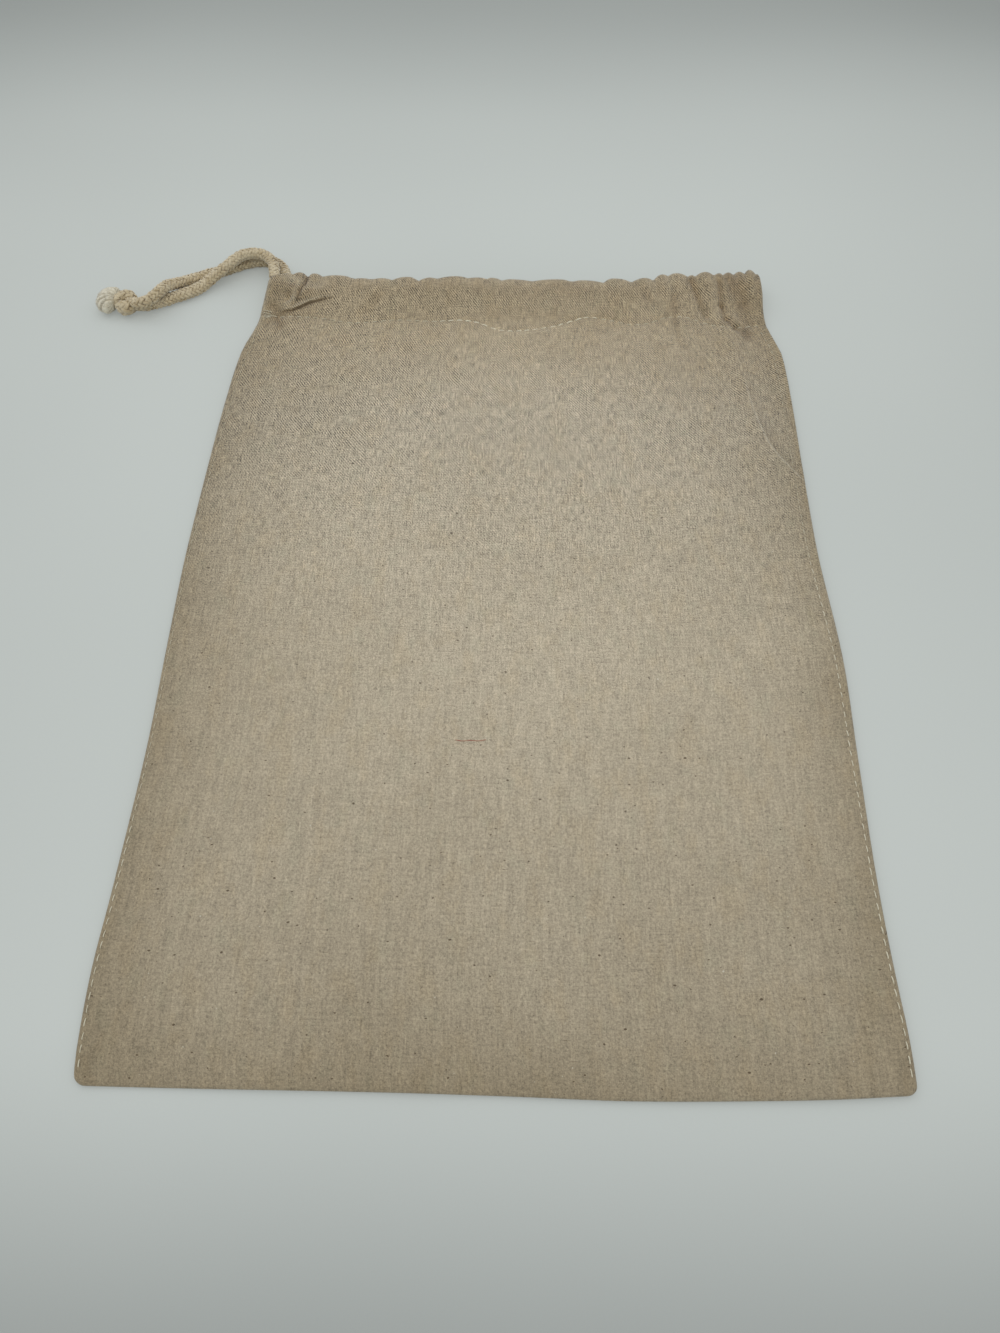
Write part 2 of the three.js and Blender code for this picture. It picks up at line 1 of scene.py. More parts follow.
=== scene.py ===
"""A flat drawstring dust bag, empty, lying face up: cloth, stitching, drawstring, knot and frayed ends.

Tables give millimetres, with y measured from the bottom fold towards the mouth and z up from the surface
that the bag lies on. bag_place() turns them into metres in the bag's own frame.
"""

import bmesh
import bpy
import numpy as np
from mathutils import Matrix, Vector


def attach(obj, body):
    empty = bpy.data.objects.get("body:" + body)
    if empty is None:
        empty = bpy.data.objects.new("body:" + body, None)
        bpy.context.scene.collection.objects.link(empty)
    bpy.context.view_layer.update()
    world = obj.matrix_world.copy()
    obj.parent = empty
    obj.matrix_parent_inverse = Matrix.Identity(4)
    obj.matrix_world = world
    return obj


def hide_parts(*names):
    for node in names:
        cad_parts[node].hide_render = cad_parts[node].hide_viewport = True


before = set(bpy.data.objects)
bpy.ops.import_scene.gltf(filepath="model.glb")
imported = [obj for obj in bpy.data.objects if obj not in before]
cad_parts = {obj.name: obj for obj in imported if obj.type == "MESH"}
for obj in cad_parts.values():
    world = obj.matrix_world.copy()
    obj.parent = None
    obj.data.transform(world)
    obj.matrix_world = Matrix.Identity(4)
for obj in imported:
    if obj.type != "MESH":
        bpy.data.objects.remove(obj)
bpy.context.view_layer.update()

# ---- Driving sizes, in millimetres ----
BAG_LENGTH = 355.0
CLOTH = 0.6                   # one thickness of the cloth
CORD_DIAMETER = 5.0
STITCH_PITCH = 3.9
MM = 0.001
TURN = 2 * np.pi
ANY_PHASE = 6.28              # a random wave starts anywhere in a turn
UPWARDS = np.array([0.0, 0.0, 1.0])


def bag_place(points):
    """Millimetres from the bottom fold to metres in the bag's frame: y less half the length, times 0.001."""
    return (np.asarray(points, float) - (0.0, BAG_LENGTH / 2, 0.0)) * MM


# ---- Camera ----
CAMERA_LENS = 27.0            # mm, on a 36 mm sensor along the long side
CAMERA_PLACE = (0.00215, -0.21735, 0.32127)
CAMERA_TILT = 30.1            # degrees up from straight down
CAMERA_TURN = 0.7


def make_camera():
    """Looks down at the bag from in front of its bottom fold."""
    data = bpy.data.cameras.new("camera")
    data.lens = CAMERA_LENS
    data.sensor_width = 36.0
    data.sensor_fit = "AUTO"
    data.clip_start = 0.01
    data.clip_end = 20.0
    camera = bpy.data.objects.new("camera", data)
    camera.location = CAMERA_PLACE
    camera.rotation_euler = (np.radians(CAMERA_TILT), 0.0, np.radians(CAMERA_TURN))
    bpy.context.scene.collection.objects.link(camera)
    bpy.context.scene.camera = camera


make_camera()


# ---- Small helpers on whole arrays ----
def ease(share):
    """3 t^2 - 2 t^3 with t held between 0 and 1."""
    t = np.clip(share, 0.0, 1.0)
    return t * t * (3.0 - 2.0 * t)


def hump(share, power):
    """sin(pi t)^power with t held between 0 and 1: nothing at both ends, 1 in the middle."""
    return np.maximum(np.sin(np.pi * np.clip(share, 0.0, 1.0)), 0.0) ** power


def unit(vectors):
    """Each vector divided by its length."""
    return vectors / np.maximum(np.linalg.norm(vectors, axis=-1, keepdims=True), 1e-12)


def table(names, *rows):
    """Rows of numbers as one array for each named column."""
    return dict(zip(names.split(), np.array(rows, float).T))


def smooth_read(rows, key, value, place):
    """A smooth curve through a table's rows: on each stretch a cubic whose end slopes are the mean slopes."""
    xs, ys = rows[key], rows[value]
    slopes = np.gradient(ys, xs)
    place = np.clip(place, xs[0], xs[-1])
    k = np.clip(np.searchsorted(xs, place, side="right") - 1, 0, len(xs) - 2)
    width = xs[k + 1] - xs[k]
    t = (place - xs[k]) / width
    before = 2 * t**3 - 3 * t**2 + 1
    return (
        before * ys[k]
        + (t**3 - 2 * t**2 + t) * width * slopes[k]
        + (1 - before) * ys[k + 1]
        + (t**3 - t**2) * width * slopes[k + 1]
    )


def new_piece(name, points, faces, material, uv=None, fields=None):
    """A smooth-shaded mesh object from points in bag millimetres and the corner numbers of its faces."""
    faces = np.asarray(faces, np.int32)
    mesh = bpy.data.meshes.new(name)
    mesh.vertices.add(len(points))
    mesh.vertices.foreach_set("co", bag_place(points).astype(np.float32).ravel())
    mesh.loops.add(faces.size)
    mesh.loops.foreach_set("vertex_index", faces.ravel())
    mesh.polygons.add(len(faces))
    mesh.polygons.foreach_set("loop_start", np.arange(0, faces.size, faces.shape[1], dtype=np.int32))
    mesh.polygons.foreach_set("use_smooth", np.ones(len(faces), bool))
    if uv is not None:
        layer = mesh.uv_layers.new(name="cut")
        layer.data.foreach_set("uv", np.asarray(uv, np.float32)[faces.ravel()].ravel())
    for label, values in (fields or {}).items():
        field = mesh.attributes.new(label, "FLOAT", "POINT")
        field.data.foreach_set("value", np.asarray(values, np.float32))
    mesh.update(calc_edges=True)
    mesh.validate()
    piece = bpy.data.objects.new(name, mesh)
    bpy.context.scene.collection.objects.link(piece)
    mesh.materials.append(material)
    return piece


def grid_faces(rows, columns, closed=False):
    """Corner numbers of the quads of a grid of rows by columns; closed joins the last column to the first."""
    i = np.arange(rows - 1)[:, None]
    j = np.arange(columns if closed else columns - 1)[None, :]
    n = (j + 1) % columns
    quads = [i * columns + j, i * columns + n, (i + 1) * columns + n, (i + 1) * columns + j]
    return np.stack(np.broadcast_arrays(*quads), -1).reshape(-1, 4)


def tube_faces(steps, sides):
    """Corner numbers of the triangles of a tube: its wall of rings, and at each end a fan to that end's
    middle point. The two middle points come after the rings."""
    quads = grid_faces(steps, sides, closed=True)
    around = np.arange(sides)
    following = (around + 1) % sides
    last = (steps - 1) * sides
    middle = np.full(sides, steps * sides)
    return np.concatenate([
        quads[:, [0, 1, 2]],
        quads[:, [0, 2, 3]],
        np.stack([middle, following, around], -1),
        np.stack([middle + 1, last + around, last + following], -1),
    ])


def many_tubes(centres, across, up, sides):
    """Tubes along many paths at once. centres is paths by steps by 3; across and up are the half sizes as
    vectors; a point of a ring is centre + across cos a + up sin a. The ends close on their middle points."""
    paths, steps, _ = centres.shape
    angle = np.arange(sides) * 2 * np.pi / sides
    ring = (
        centres[:, :, None]
        + across[:, :, None] * np.cos(angle)[:, None]
        + up[:, :, None] * np.sin(angle)[:, None]
    )
    body = ring.reshape(paths, steps * sides, 3)
    points = np.concatenate([body, centres[:, :1], centres[:, -1:]], axis=1)
    faces = tube_faces(steps, sides)[None] + (np.arange(paths) * points.shape[1])[:, None, None]
    return points.reshape(-1, 3), faces.reshape(-1, 3)


def thin_threads(path, out, width, sides, high=1.0):
    """Tubes along paths; a thread's width lies square to its path and to the direction out, and its height
    square to both is high times that."""
    along = unit(np.gradient(path, axis=1))
    across = unit(np.cross(out, along))
    return many_tubes(path, across * width, np.cross(along, across) * width * high, sides)


def spread(values, count, steps, sides):
    """Values given per tube, step or side, in the order of the points of many_tubes, end points too."""
    body = np.broadcast_to(values, (count, steps, sides)).reshape(count, -1)
    return np.concatenate([body, body[:, :1], body[:, -1:]], axis=1).ravel()


# ---- Drawstring: its route, the same points as the solid model's ----
END_A = [
    (-163.4, 335.2, 8.0), (-161.3, 337.6, 8.5), (-159.6, 340.3, 8.6), (-158.3, 343.2, 8.1),
    (-157.1, 345.8, 7.1), (-155.6, 348.4, 5.8), (-153.4, 351.1, 4.4), (-150.4, 353.9, 3.3),
    (-146.8, 356.1, 2.8), (-142.6, 358.2, 2.8), (-138.4, 360.1, 2.8), (-134.1, 362.3, 2.8),
    (-129.9, 364.5, 2.8), (-125.2, 367.0, 2.8), (-120.5, 368.5, 2.8), (-116.0, 368.9, 2.8),
    (-111.8, 367.7, 2.9), (-108.3, 364.9, 3.2), (-105.8, 361.2, 3.5),
]
EXIT_A = (-104.2, 357.0, 3.7)
IN_CASING = [
    (-102.4, 353.2, 3.6), (-99.2, 351.0, 3.3), (-94.8, 350.0, 2.9), (-89.0, 349.6, 2.9),
    (-75.0, 349.6, 2.9), (-45.0, 349.4, 2.9), (-10.0, 349.4, 2.9), (20.0, 348.8, 2.9),
    (50.0, 348.8, 2.9), (80.0, 352.4, 2.9), (96.0, 353.2, 3.0), (105.5, 353.6, 3.2),
    (111.5, 353.2, 3.6), (114.2, 350.8, 3.9), (111.5, 348.2, 4.0), (105.5, 347.4, 4.0),
    (96.0, 347.2, 4.2), (80.0, 346.6, 4.7), (50.0, 343.6, 5.6), (20.0, 343.6, 5.8),
    (-10.0, 343.8, 5.8), (-45.0, 343.8, 5.8), (-75.0, 343.8, 5.8), (-90.0, 344.0, 5.9),
    (-98.0, 344.6, 6.2), (-103.4, 346.2, 6.5), (-106.6, 348.8, 6.9),
]
EXIT_B = (-108.1, 352.0, 7.1)
END_B = [
    (-108.9, 356.0, 7.5), (-109.7, 359.9, 7.9), (-111.9, 363.6, 8.2), (-115.3, 366.2, 8.4),
    (-119.4, 367.2, 8.5), (-123.4, 366.4, 8.5), (-126.6, 364.5, 8.4), (-129.6, 361.5, 7.9),
    (-132.8, 358.6, 7.0), (-136.0, 356.0, 5.8), (-139.0, 353.8, 4.5), (-142.0, 351.4, 3.4),
    (-145.8, 348.4, 2.8), (-150.6, 345.3, 2.8), (-155.2, 342.8, 2.8), (-159.6, 340.4, 2.8),
    (-163.8, 338.6, 2.8),
]
# The knot: both strands run into it side by side as its neck; one bulge of it goes over the top towards the
# back, a rounder one comes out in front, and a narrow collar ends it. Each is a short braid of its own; a row
# is x, y, z and the braid's radius there.
KNOT_STRANDS = {
    "neck_upper": [
        (-163.3, 335.3, 8.0, 2.62), (-166.0, 333.9, 7.5, 2.62), (-169.2, 333.9, 6.6, 2.65),
        (-172.2, 335.2, 5.7, 2.5), (-174.6, 336.8, 5.0, 2.2),
    ],
    "neck_lower": [
        (-163.7, 338.6, 2.8, 2.62), (-167.2, 336.9, 3.0, 2.65), (-170.8, 336.2, 3.4, 2.65),
        (-174.0, 336.6, 3.9, 2.4),
    ],
    "bulge_over": [
        (-172.2, 337.4, 4.4, 2.1), (-173.6, 339.0, 5.3, 2.75), (-175.8, 340.0, 5.7, 3.0),
        (-178.2, 339.9, 5.2, 2.85), (-180.2, 338.7, 4.5, 2.1),
    ],
    "bulge_front": [
        (-172.8, 337.0, 4.6, 2.2), (-173.4, 335.0, 4.2, 3.0), (-175.1, 334.0, 3.9, 3.45),
        (-177.2, 334.4, 3.8, 3.3), (-179.0, 336.0, 4.0, 2.4), (-180.2, 337.4, 4.2, 1.9),
    ],
    "collar": [
        (-178.6, 337.9, 4.4, 2.6), (-179.8, 338.1, 4.4, 3.35), (-180.9, 338.3, 4.4, 3.1),
        (-182.0, 338.6, 4.4, 2.2),
    ],
}


def smooth_line(points, per_stretch=24):
    """A centripetal curve through the points: each stretch is the cubic whose end slopes come from the
    neighbouring points, with each stretch's time the square root of its length."""
    p = np.asarray(points, float)
    p = np.vstack([2 * p[0] - p[1], p, 2 * p[-1] - p[-2]])
    dt = np.sqrt(np.linalg.norm(np.diff(p, axis=0), axis=1))
    p0, p1, p2, p3 = p[:-3], p[1:-2], p[2:-1], p[3:]
    d0, d1, d2 = dt[:-2, None], dt[1:-1, None], dt[2:, None]
    t1 = ((p1 - p0) / d0 - (p2 - p0) / (d0 + d1) + (p2 - p1) / d1) * d1
    t2 = ((p2 - p1) / d1 - (p3 - p1) / (d1 + d2) + (p3 - p2) / d2) * d1
    t = (np.arange(per_stretch) / per_stretch)[None, :, None]
    c2 = -3 * p1 + 3 * p2 - 2 * t1 - t2
    c3 = 2 * p1 - 2 * p2 + t1 + t2
    curve = p1[:, None] + t1[:, None] * t + c2[:, None] * t**2 + c3[:, None] * t**3
    return np.vstack([curve.reshape(-1, 3), p[-2]])


def even_steps(line, step):
    """The same line with its points a step apart along it, and how far along each one lies."""
    reach = np.concatenate([[0], np.cumsum(np.linalg.norm(np.diff(line, axis=0), axis=1))])
    wanted = np.linspace(0, reach[-1], max(4, int(round(reach[-1] / step)) + 1))
    return np.stack([np.interp(wanted, reach, line[:, k]) for k in range(3)], -1), wanted


def level_frame(line):
    """At each step of a line its own direction, the level direction square to it and the one square to both,
    which points up."""
    along = unit(np.gradient(line, axis=0))
    level = unit(np.cross(UPWARDS, along))
    return along, level, np.cross(along, level)


CARRIERS = 16                 # strands of the braid, half of them each way round
BRAID_LAY = 15.4              # length of one turn of a strand
PLAIT_WIDE = 0.78             # half width of a strand
PLAIT_DEEP = 0.46             # half thickness
PLAIT_SINK = 0.72             # how far a strand goes in as it passes under the others
PLAIT_PROUD = 0.15            # crowns of the strands stand this far past the cord's nominal radius
PLAIT_SIDES = 7
CORE_SIDES = 10
CORE_OVER = -1.5              # the core shows only deep between the strands, where it gets the full painted shade
REST_WIDER = 0.22             # how much wider the cord is where it lies on the surface
REST_LOWER = 0.05


def braid(line, reach, radius, rng, resting=0.0):
    """A tubular braid along a line. Strand k turns round the line once in a lay, half the strands each way;
    its distance from the line goes in and out as a cosine, two over and two under. The strands are as much
    wider as the braid is thicker. Where it rests on something it is wider than it is high."""
    _, level, up = level_frame(line)
    resting = np.broadcast_to(resting, len(line))[:, None]
    level, up = level * (1 + REST_WIDER * resting), up * (1 - REST_LOWER * resting)
    radius = np.broadcast_to(radius, len(line))[None, :]
    fuller = radius / (CORD_DIAMETER / 2 + PLAIT_PROUD)
    half = CARRIERS // 2
    k = np.arange(half)[:, None]
    place = reach[None, :]
    crossing = CARRIERS * place / BRAID_LAY
    paths, widths, depths, overs = [], [], [], []
    for way in (1, -1):
        stray = rng.uniform(0, ANY_PHASE, (3, half, 1))
        wander = np.sin(0.9 * place + stray[0])
        drift = np.sin(0.55 * place + stray[1]) + 0.6 * np.sin(1.7 * place + stray[2])
        angle = k * 2 * np.pi / half + way * TURN * place / BRAID_LAY + 0.07 * drift
        met = crossing + 2 * k if way == 1 else 2 * k - crossing
        over = way * np.cos(np.pi / 2 * (met - 0.5))
        distance = radius - PLAIT_DEEP - PLAIT_SINK * (1 - over) / 2 + 0.09 * wander
        radial = np.cos(angle)[..., None] * level[None] + np.sin(angle)[..., None] * up[None]
        path = line[None] + radial * distance[..., None]
        along = unit(np.gradient(path, axis=1))
        wide = unit(np.cross(radial, along))
        size = 1 + 0.08 * over + rng.uniform(-0.10, 0.10, (half, 1)) + 0.08 * wander
        paths.append(path)
        widths.append(wide * (PLAIT_WIDE * fuller * size)[..., None])
        depths.append(np.cross(along, wide) * (PLAIT_DEEP * size)[..., None])
        overs.append(over)
    points, faces = many_tubes(*map(np.concatenate, (paths, widths, depths)), PLAIT_SIDES)
    layout = CARRIERS, len(line), PLAIT_SIDES
    around = spread(np.arange(PLAIT_SIDES)[None, None] / PLAIT_SIDES, *layout)
    along = spread(reach[None, :, None], *layout)
    over = spread(np.concatenate(overs)[..., None], *layout)
    tone = spread(rng.uniform(0, 1, CARRIERS)[:, None, None], *layout)
    core = (radius - 2 * PLAIT_DEEP - 0.3 * PLAIT_SINK).T
    core_points, core_faces = many_tubes(line[None], (level * core)[None], (up * core)[None], CORE_SIDES)
    extra = len(core_points)
    uv = np.vstack([np.stack([around, along], -1), np.zeros((extra, 2))])
    fields = {
        "over": np.concatenate([over, np.full(extra, CORE_OVER)]),
        "tone": np.concatenate([tone, np.full(extra, 0.5)]),
    }
    return np.vstack([points, core_points]), np.vstack([faces, core_faces + len(points)]), uv, fields


# ---- Cloth: its outline and its folds ----
SIDES = table(
    "y left right",
    (0, 125.4, 125.6), (6, 126.4, 125.9), (15, 127.0, 126.0), (32, 127.4, 125.4), (60, 126.2, 125.0),
    (110, 124.6, 126.2), (150, 125.0, 127.4), (195, 125.2, 125.2), (240, 123.6, 125.2),
    (280, 121.6, 125.8), (300, 120.0, 125.6), (311, 118.4, 125.0), (319, 116.0, 122.8),
    (327, 113.9, 120.5), (336, 112.7, 119.7), (346, 111.6, 120.0), (353, 111.1, 119.8),
    (360, 110.8, 119.2),
)
BOTTOM_FOLD = table(
    "x sag",
    (-128, 0.0), (-85, 0.5), (-28, 0.9), (8, 1.5), (45, 2.4), (80, 2.0), (110, 1.1), (128, 0.0),
)
CASING_STITCH = table(
    "x y",
    (-122, 330.2), (-91, 329.9), (-81, 328.7), (-72, 326.9), (-64, 326.9), (-52, 328.4), (-32, 328.0),
    (-19, 328.8), (-12, 327.5), (-4, 323.7), (4, 322.5), (12, 323.2), (19, 324.6), (26, 326.7),
    (31, 328.7), (37, 330.4), (45, 329.8), (52, 328.3), (58, 327.1), (66, 328.1), (73, 331.2),
    (82, 332.4), (91, 329.1), (96, 327.5), (101, 326.5), (115, 327.3), (124, 327.6),
)
# The gathered top edge: a soft lobe between each pinch and the next, and how far up each one reaches.
PINCHES = table(
    "x y",
    (-111.5, 349.8), (-99.4, 353.4), (-92.9, 352.8), (-85.6, 352.5), (-70.9, 351.1), (-62.4, 350.7),
    (-52.8, 350.5), (-41.0, 349.7), (-32.5, 351.4), (-17.7, 352.2), (-9.2, 351.6), (-1.6, 350.5),
    (12.3, 350.4), (30.5, 350.2), (45.4, 349.8), (58.2, 350.3), (68.5, 351.4), (75.6, 354.9),
    (84.8, 354.6), (88.1, 354.5), (97.0, 355.5), (101.4, 355.7), (106.4, 356.0), (111.5, 356.2),
    (116.8, 355.4), (119.6, 352.2),
)
LOBES = table(
    "x y",
    (-104.8, 353.3), (-96.3, 354.9), (-89.5, 354.2), (-76.9, 353.1), (-66.7, 351.4), (-57.6, 351.5),
    (-44.9, 352.5), (-36.0, 352.2), (-24.0, 353.3), (-12.0, 352.5), (-5.9, 352.4), (1.6, 351.5),
    (24.8, 351.7), (36.2, 351.2), (49.8, 352.6), (64.0, 353.0), (71.6, 355.0), (79.6, 356.4),
    (86.3, 355.6), (93.0, 357.4), (99.3, 356.7), (103.8, 357.5), (109.1, 357.8), (114.7, 359.0),
    (118.2, 355.7),
)
# How high the casing stands at a distance below its top edge: a wedge that the drawstring holds open.
WEDGE = table(
    "down z",
    (0.0, 9.0), (3.6, 9.0), (6.0, 8.8), (9.0, 8.0), (12.0, 6.9), (15.0, 5.8), (18.0, 4.7), (22.0, 3.4),
    (26.0, 2.7), (32.0, 2.4), (60.0, 2.2), (400.0, 2.2),
)
# Soft folds and hollows of the front: x1, y1, x2, y2 of a line, its rise (or depth), its half width, and how
# much painted shade darkens its bottom against the cloth around (below 0: how much a painted highlight
# lightens it).
FRONT_FOLDS = [
    (103.5, 330, 105.5, 291, 0.9, 7, 0),
    (105.5, 291, 110.5, 260, 0.8, 7, 0),
    (110.5, 260, 122.5, 237, 0.6, 6, 0),
    (-96, 210, -88, 150, 0.5, 22, 0),
    (60, 300, 20, 190, 0.5, 26, 0),
    (61.3, 347.3, 67.0, 338.8, -0.4, 3.2, 0.16),
    (78.1, 342.0, 78.6, 321.7, -0.5, 2.6, 0.26),
    (86.5, 350.3, 92.5, 332.9, -0.9, 3.0, 0.36),
    (96.0, 348.0, 98.0, 333.0, 0.5, 3.5, -0.08),
    (99.4, 350.3, 100.1, 338.4, -0.9, 2.4, 0.28),
    (100.1, 338.4, 101.9, 331.1, -1.0, 2.2, 0.30),
    (101.9, 331.1, 105.5, 325.8, -0.9, 2.6, 0.32),
    (105.5, 325.8, 109.5, 323.0, -0.8, 3.2, 0.26),
    (104.8, 351.3, 109.8, 340.3, -0.7, 5.0, 0.32),
    (110.5, 337.3, 110.8, 327.0, -0.2, 5.0, 0.22),
    (110.2, 322.6, 111.6, 320.6, -0.7, 4.2, 0.34),
    (113.5, 353.0, 115.0, 344.0, 0.5, 3.6, -0.10),
    (-103.9, 345.0, -97.6, 343.4, -0.9, 1.4, 0.28),
    (-107.2, 334.6, -103.4, 331.0, -0.8, 3.2, 0.26),
    (-105.6, 328.8, -102.4, 324.4, -0.9, 2.8, 0.34),
    (-100.6, 335.8, -94.8, 340.4, 0.7, 2.0, -0.12),
    (-98.0, 336.2, -90.5, 341.5, -0.4, 1.4, 0.14),
    (-95.0, 347.0, -98.4, 339.0, 0.6, 1.8, -0.14),
    (-97.6, 344.5, -100.8, 338.5, -0.3, 2.0, 0.14),
    (-102.0, 350.0, -98.0, 347.5, 0.8, 4.0, -0.22),
    (-64.0, 332.0, -59.0, 340.0, -0.3, 3.0, 0.12),
    (-110, 318, -105, 323, 0.6, 4, -0.06),
    (-109.5, 354, -117.0, 318, 0.0, 4.5, -0.24),
]
LONG_CREASE = [
    (103.9, 326.0), (103.9, 314.4), (106.3, 290.6), (108.3, 273.9), (111.5, 257.8), (116.2, 247.8),
    (120.7, 240.7), (124.0, 235.0),
]
FLAP_LIP = [
    (-104.0, 332.6), (-101.9, 333.0), (-98.4, 333.5), (-94.8, 335.0), (-90.8, 337.1), (-85.0, 338.5),
    (-79.0, 340.1),
]
PLEAT = [(-92.4, 353.2), (-92.6, 349.5), (-93.3, 345.4), (-95.2, 341.2), (-97.0, 337.6)]

OVERHANG = 0.5                # the flap's lip reaches this far over the cloth below it
BACK_FACE = 0.12              # the back ply's height over the surface
LEAST_FRONT = 1.5             # and the front's least height
EDGE_ROUND = 1.3              # how far in from its side the bag rounds off
CASING_FOOT = 5.0             # the cloth starts to rise this far below the casing's stitches
ROLL = 3.6                    # the turned top edge curves over within this distance
TUCK = 1.4                    # and then into the mouth within this one
MOUTH = 5.6                   # height of the slit between the two hems at the top
CORNER_ROUND = 3.2            # radius of the two bottom corners
FOLD_ROUND = 1.6              # the bottom fold curves round within this distance
SEAM_PUFF = 0.30              # the cloth beside the side seam stands up by this much
SEAM_SINK = 0.28              # and its stitches pull it down by this much
PLEAT_DEPTH = 1.5             # of the narrow pleat above the flap
RIM_PAINTED_HIGHLIGHT = 0.16            # painted highlight: how much lighter the rim of the casing is
DIP_PAINTED_SHADE = 0.09             # painted shade: how much darker the dip below the rim is


def left_edge(y):
    """The left outline at each height up the bag."""
    return -smooth_read(SIDES, "y", "left", y)


def right_edge(y):
    """The right outline at each height up the bag."""
    return smooth_read(SIDES, "y", "right", y)


def side_inset(x, y):
    """How far in from the nearer side a place lies."""
    return np.minimum(x - left_edge(y), right_edge(y) - x)


def stitch_line(x):
    """How far up the casing's row of stitches lies."""
    return smooth_read(CASING_STITCH, "x", "y", x)


def lobe_place(x):
    """For each place across: which lobe it is in, and where in it, from -1 at one pinch through 0 at its
    highest point to 1 at the next pinch."""
    pinch, top = PINCHES["x"], LOBES["x"]
    k = np.clip(np.searchsorted(pinch, x, side="right") - 1, 0, len(top) - 1)
    below = (x - top[k]) / (top[k] - pinch[k])
    above = (x - top[k]) / (pinch[k + 1] - top[k])
    return k, np.clip(np.where(x < top[k], below, above), -1, 1)


def top_edge(x):
    """The line of the pinches plus each lobe's rise, which goes as 1 - |place|^2.4."""
    k, place = lobe_place(x)
    line = np.interp(x, PINCHES["x"], PINCHES["y"])
    at_top = np.interp(LOBES["x"], PINCHES["x"], PINCHES["y"])
    return line + (LOBES["y"] - at_top)[k] * (1 - np.abs(place) ** 2.4)


def level_edge(x):
    """The top edge with its lobes smoothed away."""
    first, last = PINCHES["x"][0] + 0.1, PINCHES["x"][-1] - 0.1
    offsets = np.linspace(-9, 9, 13)
    return np.mean([top_edge(np.clip(x + offset, first, last)) for offset in offsets], axis=0)


def line_distance(x, y, line):
    """Signed distance from each place to a broken line (positive on its left side, going along it) and how
    far along it the nearest point is, as a share."""
    p = np.asarray(line, float)
    best = np.full(np.shape(x), 1e9)
    sign = np.ones(np.shape(x))
    share = np.zeros(np.shape(x))
    for k in range(len(p) - 1):
        run = p[k + 1] - p[k]
        t = np.clip(((x - p[k, 0]) * run[0] + (y - p[k, 1]) * run[1]) / (run @ run), 0, 1)
        dx, dy = x - p[k, 0] - t * run[0], y - p[k, 1] - t * run[1]
        distance = np.hypot(dx, dy)
        closer = distance < best
        best = np.where(closer, distance, best)
        sign = np.where(closer, np.sign(run[0] * dy - run[1] * dx), sign)
        share = np.where(closer, (k + t) / (len(p) - 1), share)
    return best * sign, share


def billow(x, y, seed, reach, count=6):
    """Gentle unevenness: a sum of slow sine waves in random directions, between about -1 and 1."""
    rng = np.random.default_rng(seed)
    total = np.zeros(np.broadcast(x, y).shape)
    for _ in range(count):
        way, length = rng.uniform(0, np.pi), reach * rng.uniform(0.7, 1.6)
        wave = 2 * np.pi / length
        total = total + np.sin(wave * (x * np.cos(way) + y * np.sin(way)) + rng.uniform(0, ANY_PHASE))
    return total / count * 1.6


def cord_cover(x, y, level, points, above, flat=1.6, foot=6.0):
    """The height of cloth lying over a cord: at each place the most that any point of the cord lifts it."""
    height = np.array(level, float)
    for px, py, pz in points:
        distance = np.hypot(x - px, y - py)
        share = 1 - ease((distance - flat) / (foot - flat))
        height = np.maximum(height, level + (pz + above - level) * share)
    return height


def fold_shares(x, y, wider=1.0):
    """For each fold of the front: its rise, its darkness, and how much of it reaches each place, from 1 on
    its line to 0 at its half width times wider."""
    for x1, y1, x2, y2, rise, width, dark in FRONT_FOLDS:
        distance, _ = line_distance(x, y, [(x1, y1), (x2, y2)])
        yield rise, dark, 1 - ease(np.abs(distance) / (wider * width))


def flap_lift(lip, share):
    """A fold of the casing lies over the cloth below it: just above its lip it stands proud, just below the
    cloth dips under it; both fade along the lip towards its ends and away from it."""
    above = 0.9 * ease(lip / 0.6) * np.exp(-np.maximum(lip, 0) / 4.5)
    below = -0.4 * (1 - ease((lip + 0.2) / 0.5)) * np.exp(np.minimum(lip, 0) / 3.0)
    return (above + below) * hump(share, 0.6)


def front_level(x, y):
    """Height of the front, away from its edges: the wedge of the casing, its gathers, the billows of the
    body, the folds, the flap, the pleat, the pull of the stitches and the puckers below them."""
    top = level_edge(x)
    down = np.maximum(top - y, 0)
    z = smooth_read(WEDGE, "down", "z", down)
    z = z + 0.35 * billow(x, y, 4, 120) * ease((down - 10) / 30)
    z = z + 0.18 * billow(x, y, 9, 34) * ease((down - 16) / 14)
    tight = ease((x - 55) / 20)
    lean = 0.28 * ease((x - 45) / 30) * (1 - ease((x - 108) / 10))
    _, place = lobe_place(x - lean * (top - y))
    size = 0.45 + 0.75 * tight + 0.5 * ease((-70 - x) / 20)
    fade = np.exp(-np.maximum(down - 2, 0) / (6.5 + 5 * tight))
    z = z + size * (0.45 - np.abs(place) ** 1.8) * fade
    for rise, _, share in fold_shares(x, y):
        z = z + rise * share
    z = cord_cover(x, y, z, OVER_CORD, 3.0)
    lip, share = line_distance(x, y, FLAP_LIP)
    z = z + flap_lift(lip, share)
    crease, share = line_distance(x, y, PLEAT)
    z = z - PLEAT_DEPTH * np.exp(-(crease / 0.9) ** 2) * hump(np.clip(share, 0.02, 0.98), 0.5)
    stitched = y - stitch_line(x)
    z = z - 0.35 * np.exp(-(stitched / 1.1) ** 2)
    z = z + 0.14 * np.exp(-((stitched + 2.6) / 2.2) ** 2) * np.cos(2 * np.pi * x / 9.1 + np.sin(x / 7))
    return z


